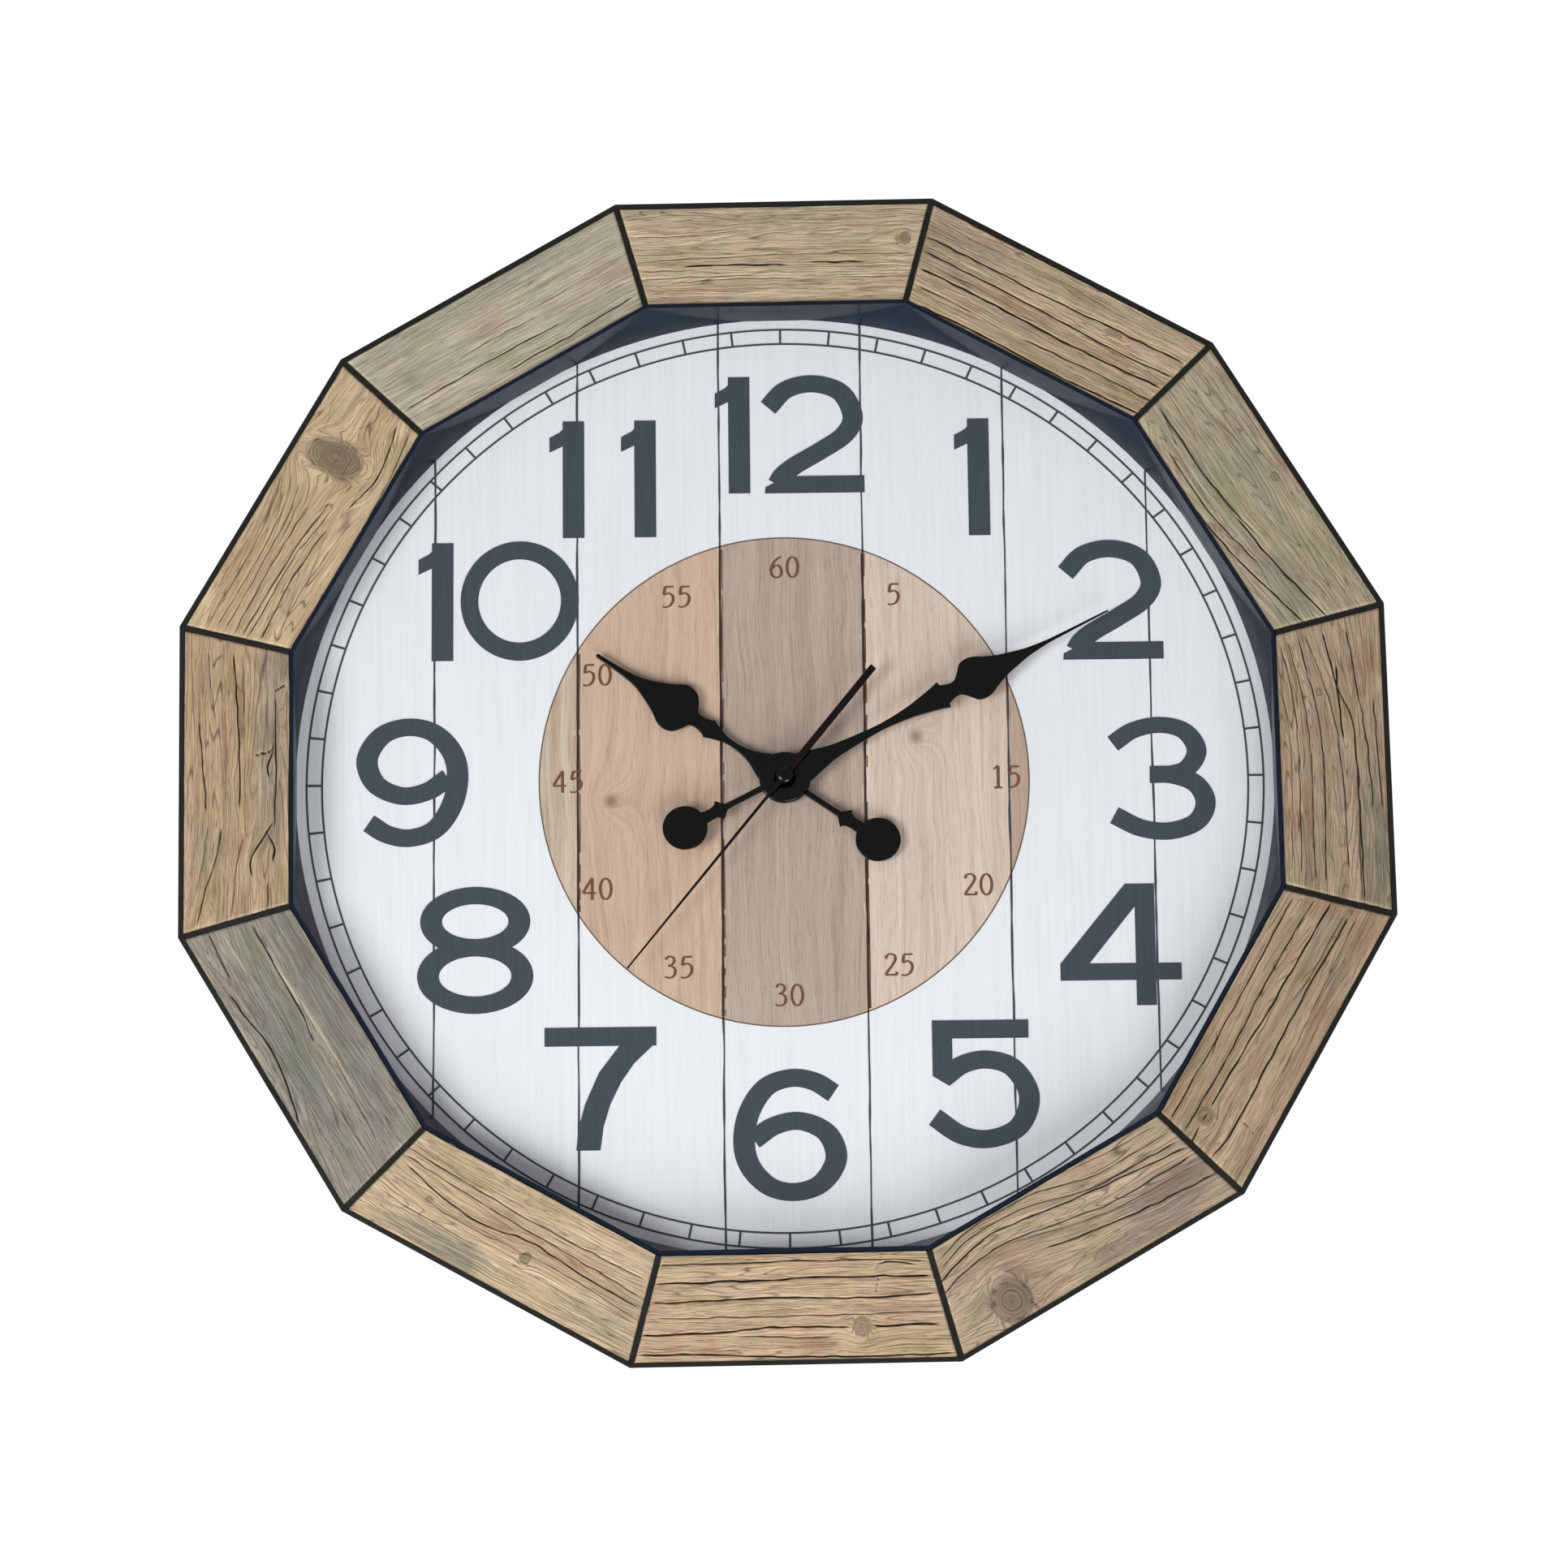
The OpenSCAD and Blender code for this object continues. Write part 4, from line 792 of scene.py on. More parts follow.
def panel_faces():
    """Faces of a panel's grid, sides and back, and the grid's rim in order."""
    index = np.arange(ALONG.size).reshape(ALONG.shape)
    quads = np.stack([index[:-1, :-1], index[:-1, 1:], index[1:, 1:], index[1:, :-1]], -1)
    rim = np.concatenate([index[:, 0], index[-1, 1:], index[-2::-1, -1], index[0, -2:0:-1]])
    base = ALONG.size + np.arange(len(rim))
    sides = np.column_stack([rim, np.roll(rim, -1), np.roll(base, -1), base])
    return quads.reshape(-1, 4).tolist() + sides.tolist() + [base[::-1].tolist()], rim


def add_marks(mesh, rim, course, seed, marks):
    """Stores the grain's course and the marks on the points of a panel's mesh."""
    def on_points(grid, side_shift=0.0):
        flat = grid.ravel()
        return np.concatenate([flat, flat[rim] + side_shift])
    vectors = np.column_stack([on_points(ALONG) + seed * 3.7, on_points(course, 6.0),
                               on_points(ALONG * 0)])
    mesh.attributes.new("grain_course", "FLOAT_VECTOR", "POINT").data.foreach_set(
        "vector", vectors.astype(np.float32).ravel())
    colours = np.column_stack([on_points(np.clip(mark, 0, 1)) for mark in marks])
    mesh.attributes.new("marks", "FLOAT_COLOR", "POINT").data.foreach_set(
        "color", colours.astype(np.float32).ravel())


def build_panel(number, wood):
    """A wood panel: relief on its face, worn edges, and marks for the material."""
    seed = number * 101
    crack, weather, knot, bare = panel_marks(wood, seed)
    course = grain_course(wood)
    face = panel_face(wood, seed, course, crack, knot, bare)
    wobble = 0.10 + 0.10 * grid_noise(0.2, 0.2, seed + 5)
    along = ALONG * (1 - wobble / HALF_LENGTH)
    apothem = np.clip(APOTHEM, TOP_LOW.y + wobble, TOP_HIGH.y - wobble)
    faces, rim = panel_faces()
    top = np.column_stack([along.ravel(), apothem.ravel(), face.ravel()])
    base = top[rim] * (1, 1, 0) + (0, 0, TOP_LOW.z)
    points, _ = turned((np.vstack([top, base]), faces), -number * SIDE_ANGLE)
    name = f"panel_{number + 1:02d}"
    material = weathered_wood(f"weathered_wood_{number + 1:02d}", wood.light, wood.dark, wood.grey,
                              wood.grain)
    obj = make_piece(f"{name}_wood", points, faces, [material], "weathered_wood",
                     replaces=[name], sharp=80)
    face_outwards(obj)
    add_marks(obj.data, rim, course, seed, (crack, weather, knot, bare))


# ---------------------------------------------------------------- dial print

SHEET_LOW, SHEET_HIGH = node_box("dial_face")
SHEET_FRONT = SHEET_HIGH.z
SHOWN_RADIUS = 247.4         # as far out as the sheet shows inside the bezel
ARBOR_HOLE = 4.3
PRINT_HOLE = 5.0
TRACK_RADII = (234.2, 242.0)
SEAMS = [72.7 * k - 32.0 for k in range(-2, 4)]
DISC_CENTRE = (-0.4, 0.4)
DISC_RADII = (123.9, 128.7)  # the wood disc is printed a little taller than wide
PRINT_STEP = 0.04            # how far each layer of print stands above the one below


def marks_plate(name, shapes, material, layer):
    """Printed shapes as one thin plate on the dial sheet, `layer` steps up."""
    flat = turned(united(shapes), DIAL_TURN)
    front = SHEET_FRONT + PRINT_STEP * (layer + 1)
    solid = thicken(flat, SHEET_FRONT - 0.05, front)
    return make_piece(name, *solid, [material], "dial_print")


def build_sheet():
    """The white sheet itself, with its hole for the arbor and softened rims."""
    back, front, radius, rim = SHEET_LOW.z, SHEET_FRONT, SHEET_HIGH.x, 0.08
    profile = [(ARBOR_HOLE, back), (radius, back), (radius, front - rim),
               (radius - rim, front), (ARBOR_HOLE + rim, front), (ARBOR_HOLE, front - rim)]
    obj = make_piece("dial_sheet", *lathe(profile, 180), [dial_white("dial_white")],
                     "dial_print", replaces=["dial_face"])
    face_outwards(obj)


def build_track():
    """The minute track: two circles joined by sixty ticks."""
    shapes = [stroke(ellipse((0, 0), (radius, radius), 360), (0.5, 0.5), closed=True)
              for radius in reversed(TRACK_RADII)]
    for minute in range(60):
        a = math.radians(6 * minute)
        ends = [(radius * math.sin(a), radius * math.cos(a)) for radius in TRACK_RADII]
        shapes.append(stroke(ends, (0.55, 0.55)))
    marks_plate("minute_track", shapes, ink("track_ink", (70, 76, 82)), 4)


def seam(x, low, high, half_width, seed, gap_chance=0.0):
    """An upright plank seam with a slightly unsteady edge."""
    heights = np.linspace(low, high, max(2, int((high - low) / 3.0)))
    sway = 0.22 * lattice_noise(heights * 0.05, heights * 0, seed)
    width = half_width * (1 + 0.3 * lattice_noise(heights * 0.11, heights * 0, seed + 5))
    left = np.column_stack([x + sway - width, heights])
    right = np.column_stack([x + sway + width, heights])
    count = len(heights)
    faces = []
    for k in range(count - 1):
        if lattice_noise(heights[k] * 0.2, 0.5, seed + 9) >= gap_chance * 2 - 1:
            faces.append([k, count + k, count + k + 1, k + 1])
    return np.vstack([left, right]), faces


def half_chord(x, centre, radii):
    """Half the height of an ellipse at a given x."""
    return radii[1] * math.sqrt(max(0.0, 1 - ((x - centre[0]) / radii[0]) ** 2))


def build_seams():
    """Thin blue-grey seams over the whole dial, and darker ones over the wood disc."""
    whole, over_wood, rims, glints = [], [], [], []
    for k, x in enumerate(SEAMS):
        reach = half_chord(x, (0, 0), (SHOWN_RADIUS, SHOWN_RADIUS))
        whole.append(seam(x, -reach, reach, 0.5, 10 + k))
        wood_reach = half_chord(x, DISC_CENTRE, DISC_RADII) - 1.5
        if wood_reach > DISC_RADII[1] / 2:
            low, high = DISC_CENTRE[1] - wood_reach, DISC_CENTRE[1] + wood_reach
            over_wood.append(seam(x, low, high, 0.6, 30 + k))
            rims.append(seam(x + 0.9, low, high, 0.3, 50 + k, gap_chance=0.4))
            glints.append(seam(x - 1.3, low, high, 0.25, 70 + k, gap_chance=0.75))
    marks_plate("dial_seams", whole, ink("seam_ink", (62, 70, 78)), 3)
    marks_plate("dial_wood_seams", over_wood, ink("wood_seam_ink", (58, 44, 38)), 4)
    marks_plate("dial_wood_seam_rims", rims, ink("seam_rim_ink", (122, 88, 66)), 4)
    marks_plate("dial_wood_seam_glints", glints, ink("seam_glint_ink", (214, 200, 182)), 4)


def plank(low, high):
    """One plank of the wood disc between two seams, parted round the arbor hole."""
    centre_x, centre_y = DISC_CENTRE
    ends = [math.asin(max(-1.0, min(1.0, (x - centre_x) / DISC_RADII[0]))) for x in (low, high)]
    across = centre_x + DISC_RADII[0] * np.sin(np.linspace(*ends, 24))
    hole = centre_x + PRINT_HOLE * np.sin(np.linspace(-math.pi / 2, math.pi / 2, 13))
    across = np.unique(np.append(across, hole[(hole > low) & (hole < high)]))
    points, columns = [], []
    for x in across:
        reach = max(0.3, half_chord(x, DISC_CENTRE, DISC_RADII))
        gap = half_chord(x, DISC_CENTRE, (PRINT_HOLE, PRINT_HOLE))
        first = len(points)
        points += [(x, centre_y + y) for y in sorted({-reach, -gap, gap, reach})]
        columns.append([first, first + 1, len(points) - 2, len(points) - 1])
    faces = []
    for a, b in zip(columns, columns[1:]):
        faces += [[a[0], b[0], b[1], a[1]], [a[2], b[2], b[3], a[3]]]
    return np.array(points), faces


def build_wood_disc():
    """Five planks of printed wood cut to an oval, with a thin outline."""
    planks = [
        ((214, 198, 180), (184, 160, 138), 1.2, None, 0.9),
        ((214, 189, 168), (198, 168, 144), 0.35, (-88.0, 0.0, -9.0), 0.6),
        ((197, 178, 166), (160, 140, 126), 1.4, None, 0.5),
        ((226, 209, 195), (210, 186, 168), 0.5, (67.0, 0.0, 22.0), 0.7),
        ((196, 174, 156), (172, 148, 130), 0.8, None, 0.6),
    ]
    left, right = DISC_CENTRE[0] - DISC_RADII[0], DISC_CENTRE[0] + DISC_RADII[0]
    edges = [left] + [x for x in SEAMS if left < x < right] + [right]
    shapes, owners, materials = [], [], []
    for k, (low, high) in enumerate(zip(edges, edges[1:])):
        light, dark, pitch, knot, bands = planks[k]
        if knot:
            knot = (knot[0], -SHEET_FRONT, knot[2])
        materials.append(printed_wood(f"disc_wood_{k + 1}", light, dark, pitch, k, knot, bands))
        solid = thicken(turned(plank(low, high), DIAL_TURN), SHEET_FRONT - 0.05,
                        SHEET_FRONT + PRINT_STEP * 2)
        shapes.append(solid)
        owners += [k] * len(solid[1])
    obj = make_piece("dial_wood_disc", *join_shapes(shapes), materials, "dial_print")
    obj.data.polygons.foreach_set("material_index", owners)
    outline = stroke(ellipse(DISC_CENTRE, DISC_RADII, 240), (0.32, 0.32), closed=True)
    marks_plate("dial_disc_outline", [outline], ink("outline_ink", (104, 88, 80)), 3)


def solid_shape(*corners):
    """A filled outline, its corners listed counter-clockwise."""
    return np.array(corners, float), [list(range(len(corners)))]


SANS_SIX = curve_through([
    (22.5, 21), (13, 27), (1.5, 29), (-11, 24.5), (-19.5, 12), (-22.4, -3), (-19.5, -16), (-10, -26.3),
    (3, -29.4), (16, -25), (23.5, -12.5), (19, 0.5), (6, 6.8), (-7, 4.6), (-17.5, -2.5)])

# Shapes of the hour numerals' digits, 64 mm tall, each centred on its own box
SANS_DIGITS = {
    "0": [stroke(ellipse((0, 0), (25.6, 27.1)), (4.5, 4.8), closed=True)],
    "1": [solid_shape((-1.6, -31.6), (9.4, -31.6), (9.4, 31.4), (-1.6, 31.4)),
          solid_shape((-8.4, 14.6), (-1.5, 18), (9.0, 26), (9.4, 31.4), (2.8, 31.4), (-3.2, 25.4),
                      (-8.4, 22.6))],
    "2": [stroke(curve_through([
              (-22.8, 14.6), (-13.5, 24.2), (0.5, 27.3), (14.5, 22.4), (20.6, 9.5), (16.2, -0.5),
              (4, -9), (-9, -16.8), (-15.4, -22), (-18.4, -27)]), (5.2, 4.65)),
          solid_shape((-24.8, -31.8), (26.2, -31.8), (26.2, -22.6), (-13.4, -22.6), (-24.6, -28.5))],
    "3": [stroke(curve_through([
              (-23.8, 18.3), (-13.5, 25.2), (0, 28), (12.5, 24.6), (18.6, 14.5), (13.5, 5), (3, 1.9),
              (-5.5, 1.9)]), (5.0, 4.2)),
          stroke(curve_through([
              (-5.5, 1.9), (6, 1.4), (17.5, -3.2), (22.4, -13), (17.5, -23.2), (4, -27.9),
              (-10.5, -26.2), (-23.9, -19.4)]), (5.1, 4.5))],
    "4": [solid_shape((2.5, 31.7), (-30.8, -9.7), (-16.2, -9.7), (7.3, 20), (12.4, 20), (12.4, 31.7)),
          solid_shape((7.2, -31.5), (17.2, -31.5), (17.2, 31.7), (7.2, 31.7)),
          solid_shape((-30.8, -18.4), (30, -18.4), (30, -9.6), (-30.8, -9.6))],
    "5": [solid_shape((-25.8, 23.4), (22.5, 23.4), (22.5, 32.8), (-25.8, 32.8)),
          solid_shape((-25.8, 4.2), (-17.6, -1), (-15.8, 0.4), (-15.8, 32.8), (-25.8, 32.8)),
          stroke(curve_through([
              (-20, 3.2), (-10.5, 10), (1.7, 12.3), (14.5, 7.8), (22.3, -6.5), (17, -22),
              (2.5, -28.3), (-12, -26.2), (-25.2, -17)]), (5.2, 4.65))],
    "6": [stroke(SANS_SIX, (5.4, 4.6))],
    "7": [solid_shape((-27.8, 21.6), (28.2, 21.6), (28.2, 31.3), (-27.8, 31.3)),
          solid_shape((-12, -32), (0, -32), (1.6, -20), (5, -8.5), (10.5, 3), (17, 12.5), (28.2, 23.4),
                      (10.4, 22.6), (-0.5, 8), (-7.5, -8), (-11, -21))],
    "8": [stroke(ellipse((0.4, 14.9), (22.2, 13.6)), (5.5, 4.5), closed=True),
          stroke(ellipse((0.4, -13.6), (23.7, 14.9)), (5.5, 4.5), closed=True),
          solid_shape((-16.6, -2.5), (17.2, -2.5), (16.8, 5), (-16, 5))],
    "9": [stroke(-SANS_SIX, (5.4, 4.6))],
}

# Each hour numeral's place on the dial, and its digits with their shifts
HOURS = [
    ((4, 185), "12", (-29.5, 12.2)), ((97, 161), "1", (0,)), ((167, 94), "2", (0,)),
    ((190, -1), "3", (0,)), ((168, -88), "4", (0,)), ((98, -159), "5", (0,)),
    ((0, -184), "6", (0,)), ((-94, -159), "7", (0,)), ((-157, -87), "8", (0,)),
    ((-188, 1), "9", (0,)), ((-145, 97), "10", (-32.4, 10.8)), ((-92, 162), "11", (-18.5, 18.2)),
]


def build_hours():
    """Hour numerals 1 to 12."""
    shapes = []
    for (x, y), digits, shifts in HOURS:
        for digit, shift in zip(digits, shifts):
            shapes += [moved(shape, (x + shift, y)) for shape in SANS_DIGITS[digit]]
    marks_plate("hour_numerals", shapes, ink("numeral_ink", (66, 74, 84)), 5)


# The minute numerals' digits, 12 mm tall: one curved stroke each, and straight bars
SERIF_PEN = (0.72, 0.36)
SERIF_DIGITS = {
    "1": [(-1.9, 4.1), (-0.6, 4.9), (0.2, 5.8)],
    "2": [(-2.6, 3.3), (-1.7, 5.0), (0.2, 5.6), (2.0, 4.6), (2.3, 2.7), (1.0, 0.2), (-0.9, -2.4),
          (-2.7, -5.0)],
    "3": [(-2.4, 4.1), (-0.7, 5.6), (1.5, 5.0), (1.9, 3.0), (0.6, 1.3), (-0.8, 0.8), (1.2, 0.3),
          (2.5, -1.7), (1.8, -4.3), (-0.3, -5.5), (-2.7, -4.9)],
    "4": [(1.4, 5.6), (-0.9, 1.9), (-3.2, -1.9)],
    "5": [(-1.5, 5.2), (-2.0, 1.3), (0.2, 1.9), (2.2, 0.5), (2.5, -2.0), (1.2, -4.5), (-1.1, -5.6),
          (-2.9, -5.2)],
    "6": [(2.5, 5.5), (0.2, 4.3), (-1.9, 1.6), (-2.7, -1.7), (-1.9, -4.5), (0.2, -5.6), (2.2, -4.3),
          (2.6, -2.0), (1.5, 0.5), (-0.3, 1.0), (-2.2, -0.7)],
}
SERIF_BARS = {
    "1": [((0.4, -5.7), (0.4, 5.8)), ((-1.7, -5.7), (2.4, -5.7))],
    "2": [((-2.9, -5.2), (3.0, -5.2)), ((2.7, -5.3), (3.2, -3.8))],
    "4": [((-3.3, -2.1), (3.2, -2.1)), ((1.4, -5.7), (1.4, 5.7))],
    "5": [((-1.6, 5.3), (2.7, 5.4))],
}


def serif_digit(digit):
    """Strokes of a minute numeral's digit, 12 mm tall."""
    if digit == "0":
        return [stroke(ellipse((0, 0), (2.75, 5.4), 40), SERIF_PEN, closed=True)]
    shapes = [stroke(curve_through(SERIF_DIGITS[digit]), SERIF_PEN)]
    return shapes + [stroke(bar, (0.75, 0.45)) for bar in SERIF_BARS.get(digit, [])]


def build_minutes():
    """Minute numerals 5 to 60 inside the edge of the wood disc."""
    centre, radii, advance = (0.9, 0.6), (110.7, 112.8), 8.2
    shapes = []
    for k in range(1, 13):
        digits = str(5 * k)
        a = math.radians(30 * k)
        x, y = centre[0] + radii[0] * math.sin(a), centre[1] + radii[1] * math.cos(a)
        for n, digit in enumerate(digits):
            shift = (n - (len(digits) - 1) / 2) * advance
            shapes += [moved(shape, (x + shift, y)) for shape in serif_digit(digit)]
    marks_plate("minute_numerals", shapes, ink("minute_ink", (112, 78, 56)), 5)


# ---------------------------------------------------------------- hands

HAND_THICKNESS = 0.8
EDGE_ROUNDING = 0.42
HUB_RADIUS = 13.0
TAIL_DISC_RADIUS = 11.4
TAIL_DISC_AT = 57.0


def rounded_bar(stations, back, thickness, rounding):
    """A flat bar along +up from (distance, half-width) stations, with rounded front edges."""
    steps = np.radians([0, 25, 50, 75, 90])
    points, loops = [], []
    for distance, half in stations:
        r = min(rounding, half * 0.9, thickness * 0.6)
        front = back + thickness
        side = [(half, back)] + [(half - r + r * math.cos(a), front - r + r * math.sin(a))
                                 for a in steps]
        section = side + [(-x, z) for x, z in reversed(side)]
        loops.append(range(len(points), len(points) + len(section)))
        points += [(x, distance, z) for x, z in section]
    faces = []
    for here, after in zip(loops, loops[1:]):
        count = len(here)
        for k in range(count):
            n = (k + 1) % count
            faces.append([here[k], here[n], after[n], after[k]])
    faces.append(list(reversed(loops[0])))
    faces.append(list(loops[-1]))
    return np.array(points), faces


def stations_through(*runs, steps=5):
    """Stations along smooth runs of (distance, half-width); a new run starts at a sharp barb."""
    out = []
    for run in runs:
        out += [tuple(p) for p in curve_through(run, steps)]
    return [(d, max(w, 0.15)) for d, w in out]


def tail_stations():
    """Stem, pointed collar and round end of a tail, as distances from the arbor."""
    stem = stations_through([(8, 1.6), (31, 1.6), (34, 2.2), (36, 4.2), (37.6, 5.4)],
                            [(38.0, 4.2), (40, 3.2), (43, 3.0), (46, 3.2)])
    start = math.asin(3.4 / TAIL_DISC_RADIUS)
    disc = [(TAIL_DISC_AT - TAIL_DISC_RADIUS * math.cos(a), TAIL_DISC_RADIUS * math.sin(a))
            for a in np.linspace(start, math.pi - 0.01, 44)]
    return stem + disc


def hub(back, hole):
    """Round hub with a raised, chamfered middle and a hole for the arbor."""
    front = back + HAND_THICKNESS
    profile = [(hole, back), (HUB_RADIUS, back), (HUB_RADIUS, front - 0.3),
               (HUB_RADIUS - 0.12, front - 0.08), (HUB_RADIUS - 0.4, front + 0.02),
               (HUB_RADIUS - 2.5, front + 0.38), (HUB_RADIUS - 3.0, front + 0.4),
               (hole + 0.2, front + 0.4), (hole, front + 0.2)]
    return lathe(profile, 72)


def spade_hand(front, back, hole, clockwise):
    """A spade hand: blade, tail and hub."""
    tail = rounded_bar(tail_stations(), back, HAND_THICKNESS, EDGE_ROUNDING)
    blade = rounded_bar(front, back, HAND_THICKNESS, EDGE_ROUNDING)
    return turned(join_shapes([blade, turned(tail, 180), hub(back, hole)]), -clockwise)


def hand_tip(node):
    """A hand's farthest point: degrees clockwise from 12, and millimetres from the arbor."""
    points = np.array([v.co for v in frame["nodes"][node].data.vertices])
    right, _, up = points[np.argmax(np.hypot(points[:, 0], points[:, 2]))]
    return math.degrees(math.atan2(right, up)), math.hypot(right, up) / MM - 0.02


def build_hands(paint):
    """Hour and minute hands, each from its tip in the CAD back to its hub."""
    minute_pointing, minute_reach = hand_tip("minute_hand")
    hour_pointing, hour_reach = hand_tip("hour_hand")
    minute_front = stations_through(
        [(8, 8.8), (12, 7.9), (20, 5.7), (28, 3.8), (36, 2.9), (44, 2.3), (54, 1.8), (64, 2.3),
         (72, 3.2), (80, 4.7), (87, 6.3), (91.3, 7.6)],
        [(91.9, 5.4), (94, 4.6), (97, 3.9), (100, 4.6), (103, 7.6), (106, 10.8), (110, 11.6),
         (114, 10.8), (119, 8.3), (125, 5.9), (132, 4.0), (140, 2.2), (150, 1.1), (158, 0.8),
         (184, 0.45), (minute_reach, 0.3)])
    hour_front = stations_through(
        [(8, 8.6), (12, 7.2), (18, 4.3), (24, 2.4), (30, 1.65), (36, 1.8), (42, 3.5), (46.8, 5.5)],
        [(47.4, 4.6), (50, 4.0), (53, 3.5), (56, 4.3), (58.5, 8.4), (61.5, 11.7), (66, 13.1),
         (70, 12.3), (75, 9.2), (81, 6.3), (87, 3.9), (93, 2.4), (100, 1.7), (108, 1.3),
         (hour_reach - 1.2, 1.1), (hour_reach, 0.5)])
    for name, body, front, hole, clockwise in (
            ("minute_hand", "minutes", minute_front, 1.75, minute_pointing),
            ("hour_hand", "hours", hour_front, 2.58, hour_pointing)):
        shape = spade_hand(front, node_box(name)[0].z, hole, clockwise)
        obj = make_piece(f"{name}_lacquered", *shape, [paint], "hand_black", body, [name], 50)
        face_outwards(obj)


def build_second_hand(paint):
    """Second hand: pointed blade, broad tail, boss and tube."""
    clockwise, reach = hand_tip("second_hand")
    low, high = node_box("second_hand")
    thickness = 0.5
    front = high.z - 0.5
    back = front - thickness
    blade = rounded_bar([(3, 1.5), (14, 0.8), (60, 0.68), (reach, 0.42)], back, thickness, 0.2)
    tail = rounded_bar([(3, 1.7), (10, 1.8), (72.4, 1.8), (72.9, 1.5)], back, thickness, 0.2)
    boss = lathe([(0.55, back), (3.6, back), (3.6, front - 0.12), (3.48, front), (0.55, front)], 48)
    tube = lathe([(0.55, low.z), (1.3, low.z), (1.3, high.z - 0.1), (1.2, high.z), (0.55, high.z)], 48)
    shape = turned(join_shapes([blade, turned(tail, 180), boss, tube]), -clockwise)
    obj = make_piece("second_hand_lacquered", *shape, [paint], "hand_black", "seconds_train",
                     ["second_hand"], 50)
    face_outwards(obj)


def build_cap(paint):
    """Domed cap on the second hand's tube."""
    low, high = node_box("second_hand_cap")
    radius, rise = high.x, high.z - low.z
    dome = [(radius * math.cos(a), low.z + 0.35 * rise + 0.65 * rise * math.sin(a))
            for a in np.radians([0, 15, 30, 45, 60, 75, 88])]
    profile = [(1.4, low.z), (radius, low.z)] + dome + [(0.02, low.z + 1.3), (1.4, low.z + 1.3)]
    cap = make_piece("second_hand_cap_lacquered", *lathe(profile, 64), [paint], "hand_black",
                     "seconds_train", ["second_hand_cap"], 50)
    face_outwards(cap)


# ---------------------------------------------------------------- CAD nodes kept

# Each material slot's maker and what it takes after the name
FINISH_MAKERS = {
    "frame_black": (moulded, (17, 18, 14), 0.45, 0.8, 0.05, 1.6),
    # The bezel's navy tone is painted reflection: black lacquer tinted to show the blue-grey daylight it
    # mirrors.
    "bezel_gloss": (gloss_black, (20, 30, 46), 0.32, 0.0, 0.2),
    "housing_black": (moulded, (40, 40, 42), 0.6, 1.4, 0.08),
    "screw_steel": (metal, (196, 196, 198), 0.34),
    "fibreboard": (fibreboard,),
    "hanger_steel": (metal, (204, 205, 208), 0.38, (0.05, 1, 1)),
    "movement_plastic": (moulded, (44, 45, 48), 0.52, 2.2, 0.05),
    "brass": (metal, (214, 180, 104), 0.3),
    "gasket_rubber": (moulded, (36, 36, 36), 0.8, 1.8, 0.04),
    "natural_plastic": (moulded, (232, 228, 214), 0.42, 1.6, 0.02, 1.0),
    "soft_iron": (metal, (150, 152, 156), 0.42, (1, 1, 0.06)),
    "copper_wire": (wound_wire,),
    "circuit_board": (solder_mask,),
    "chip_resin": (moulded, (18, 18, 19), 0.3, 0.6, 0.06),
    "contact_metal": (metal, (222, 223, 226), 0.24),
    "battery_wrap": (battery_wrap, node_box("battery")[1].x),
    "magnet": (metal, (112, 114, 120), 0.5),
}


def soften_edges(obj, width):
    """Joins the split points of an imported node and rounds its edges a little."""
    weld = obj.modifiers.new("weld", "WELD")
    weld.merge_threshold = 1e-6
    bevel = obj.modifiers.new("round_edges", "BEVEL")
    bevel.width = width * MM
    bevel.segments = 2
    bevel.limit_method = "ANGLE"
    bevel.angle_limit = math.radians(40)
    bevel.harden_normals = True


def finish_nodes():
    """Gives every CAD node that is still shown its finish, and rounds its edges."""
    finishes = {slot: make(slot, *values) for slot, (make, *values) in FINISH_MAKERS.items()}
    for part in frame["record"]["subparts"]:
        obj = frame["nodes"][part["node"]]
        if obj.hide_render:
            continue
        obj.data.materials.clear()
        obj.data.materials.append(finishes[part["material_slot"]])
        low, high = node_box(part["node"])
        soften_edges(obj, min(0.35, 0.05 * min(high - low)))


# ---------------------------------------------------------------- camera, lights, floor

CAMERA_AT = Vector((0.0019, -3.5009, -1.0176))
CAMERA_AIM = Vector((-0.0005, -0.0243, -0.0018))
CAMERA_ROLL = -1.1
FOCAL_LENGTH = 164.4
KEY_TONE = (1.0, 0.99, 0.97)


def add_camera():
    """A long lens below the dial's axis, turned a little about its own axis."""
    data = bpy.data.cameras.new("camera")
    data.lens = FOCAL_LENGTH
    data.sensor_width = 36.0
    data.clip_start, data.clip_end = 0.05, 60.0
    camera = add_object("camera", data)
    look = (CAMERA_AIM - CAMERA_AT).to_track_quat("-Z", "Y").to_matrix().to_4x4()
    roll = Matrix.Rotation(math.radians(CAMERA_ROLL), 4, "Z")
    camera.matrix_world = Matrix.Translation(CAMERA_AT) @ look @ roll
    bpy.context.scene.camera = camera


def add_light(name, at, size, power, tone=(1, 1, 1)):
    """A round area light that faces the clock."""
    data = bpy.data.lights.new(name, "AREA")
    data.shape = "DISK"
    data.size = size
    data.energy = power
    data.color = tone
    light = add_object(name, data)
    light.location = at
    light.rotation_mode = "QUATERNION"
    light.rotation_quaternion = (-Vector(at)).to_track_quat("-Z", "Y")


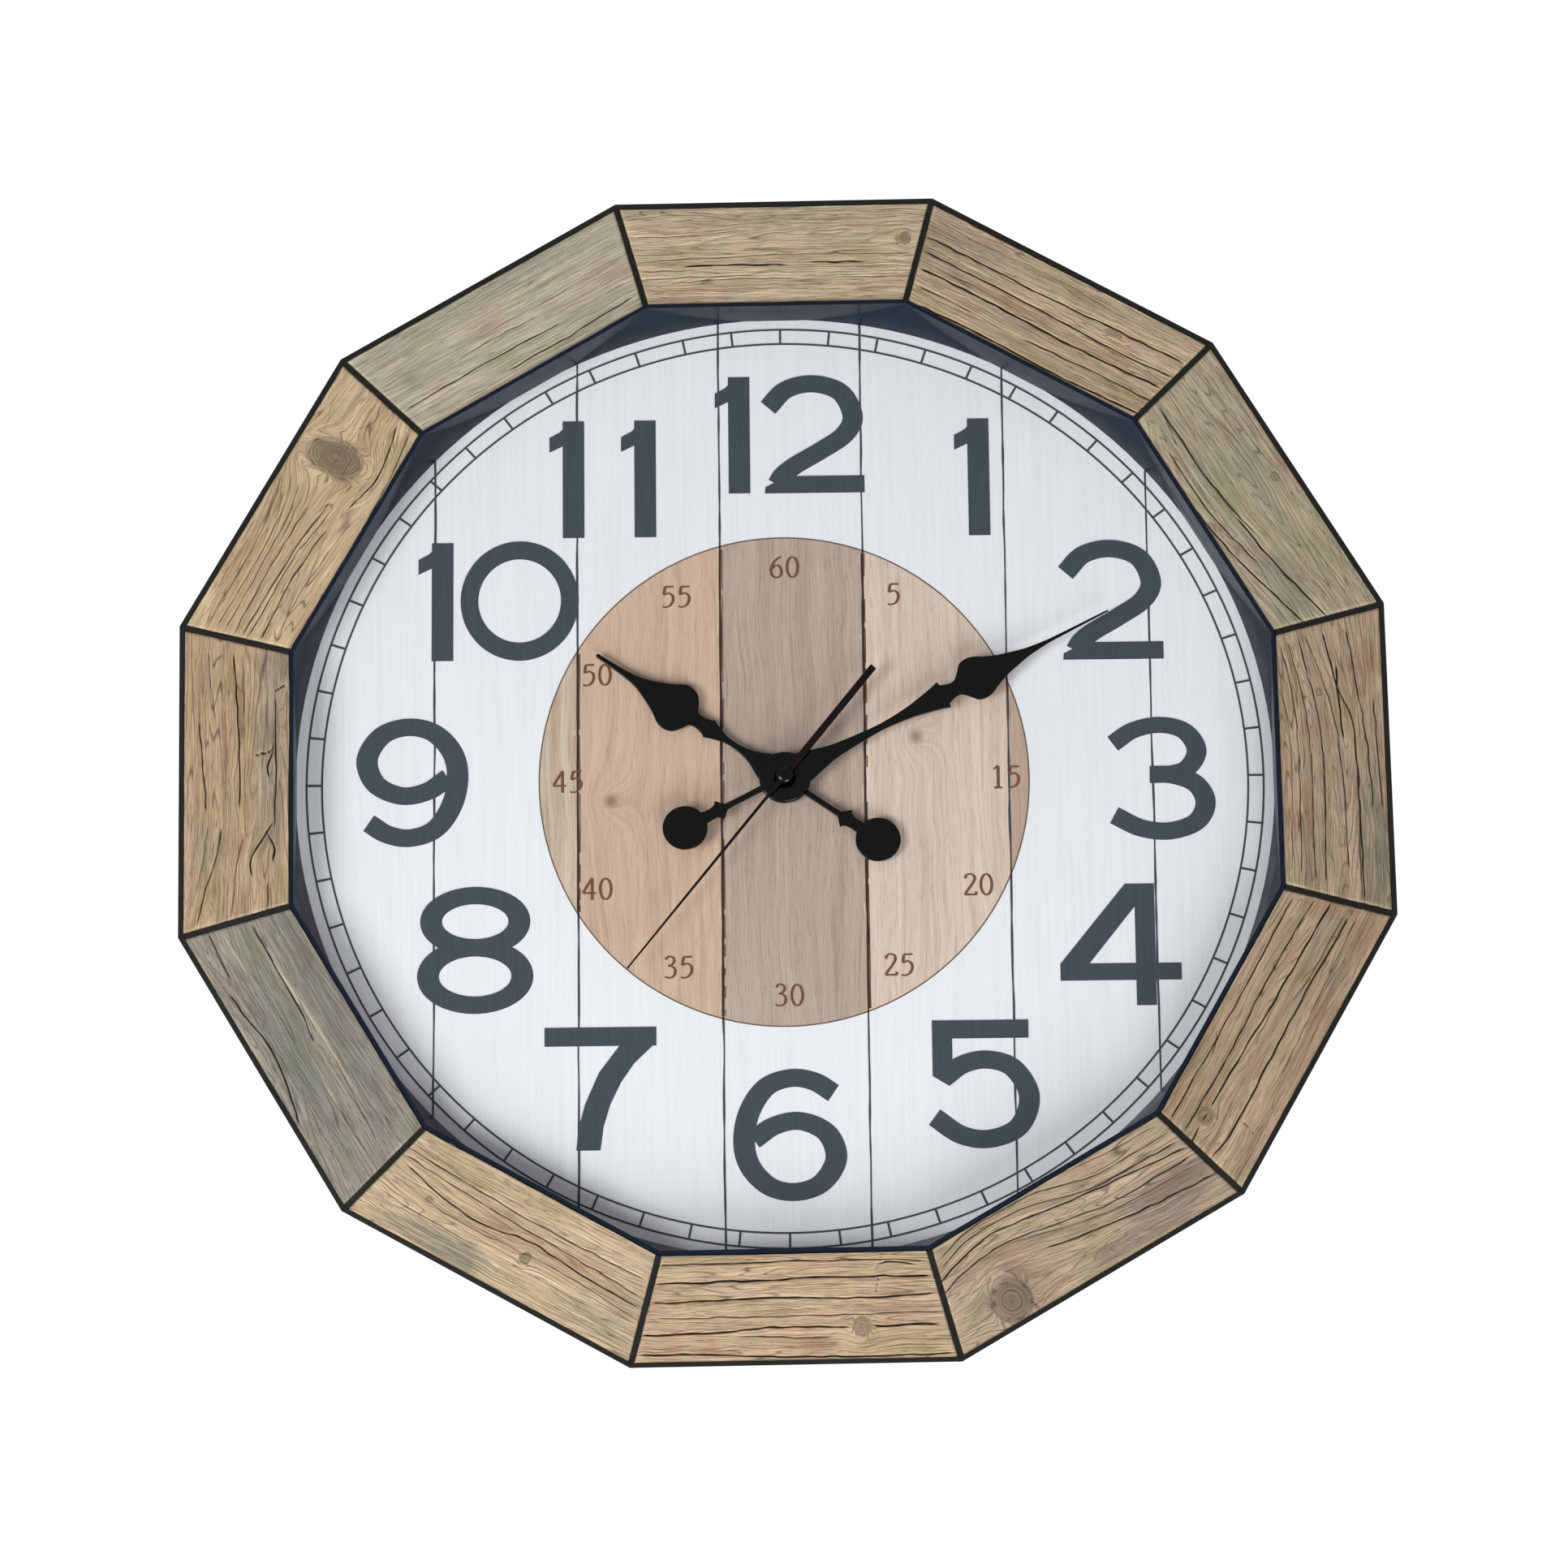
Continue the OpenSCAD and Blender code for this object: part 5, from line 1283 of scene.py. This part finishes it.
def add_world(ambient, backdrop):
    """Soft light from all around, in front of a pale background."""
    world = bpy.data.worlds.new("studio")
    world.use_nodes = True
    tree = world.node_tree
    background = tree.nodes["Background"]
    seen = tree.nodes.new("ShaderNodeLightPath").outputs["Is Camera Ray"]
    strength = tree.nodes.new("ShaderNodeMapRange")
    strength.inputs["To Min"].default_value = ambient
    strength.inputs["To Max"].default_value = backdrop
    tree.links.new(seen, strength.inputs["Value"])
    tree.links.new(strength.outputs["Result"], background.inputs["Strength"])
    background.inputs["Color"].default_value = (1, 1, 1, 1)
    bpy.context.scene.world = world


def add_floor(height, half=6.0):
    """A plain pale floor, brightened where the camera sees it but not as a light."""
    mesh = bpy.data.meshes.new("floor")
    corners = [(-half, -half, height), (half, -half, height), (half, half, height),
               (-half, half, height)]
    mesh.from_pydata(corners, [], [[0, 1, 2, 3]])
    s = Shader("floor_paint")
    s.link(s.mix(s.noise(s.place(), 0.004, 3), srgb(228, 228, 228), srgb(236, 236, 236)), "Base Color")
    s.link(s.spread(s.noise(s.place(), 0.02, 3), 0.3, 0.7, 0.7, 0.85), "Roughness")
    seen = s.node("ShaderNodeLightPath", {}).outputs["Is Camera Ray"]
    s.link(s.math("MULTIPLY", seen, 0.5), "Emission Strength")
    mesh.materials.append(s.material)
    add_object("floor", mesh)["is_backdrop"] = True


# ---------------------------------------------------------------- the scene

for panel_number, panel_wood in enumerate(WOODS):
    build_panel(panel_number, panel_wood)
build_sheet()
build_wood_disc()
build_seams()
build_track()
build_hours()
build_minutes()
hand_lacquer = gloss_black("hand_lacquer", (5, 8, 8), 0.15, 0.003, 0.35)
build_hands(hand_lacquer)
build_second_hand(gloss_black("second_hand_lacquer", (24, 15, 12), 0.3))
build_cap(hand_lacquer)
finish_nodes()

add_camera()
add_world(ambient=0.28, backdrop=1.05)
add_light("key_left", (-2.0, -2.2, -1.1), 1.5, 59, KEY_TONE)
add_light("key_below", (0.9, -1.5, -2.8), 2.0, 70, KEY_TONE)
add_light("back", (0.8, 2.4, 1.4), 1.6, 30)
add_floor(height=-3.3)
bpy.context.scene.view_settings.view_transform = "Standard"

boxes = {"cad": cad_box, "visual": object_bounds()}
{name: [list(corner) for corner in box] for name, box in boxes.items()}
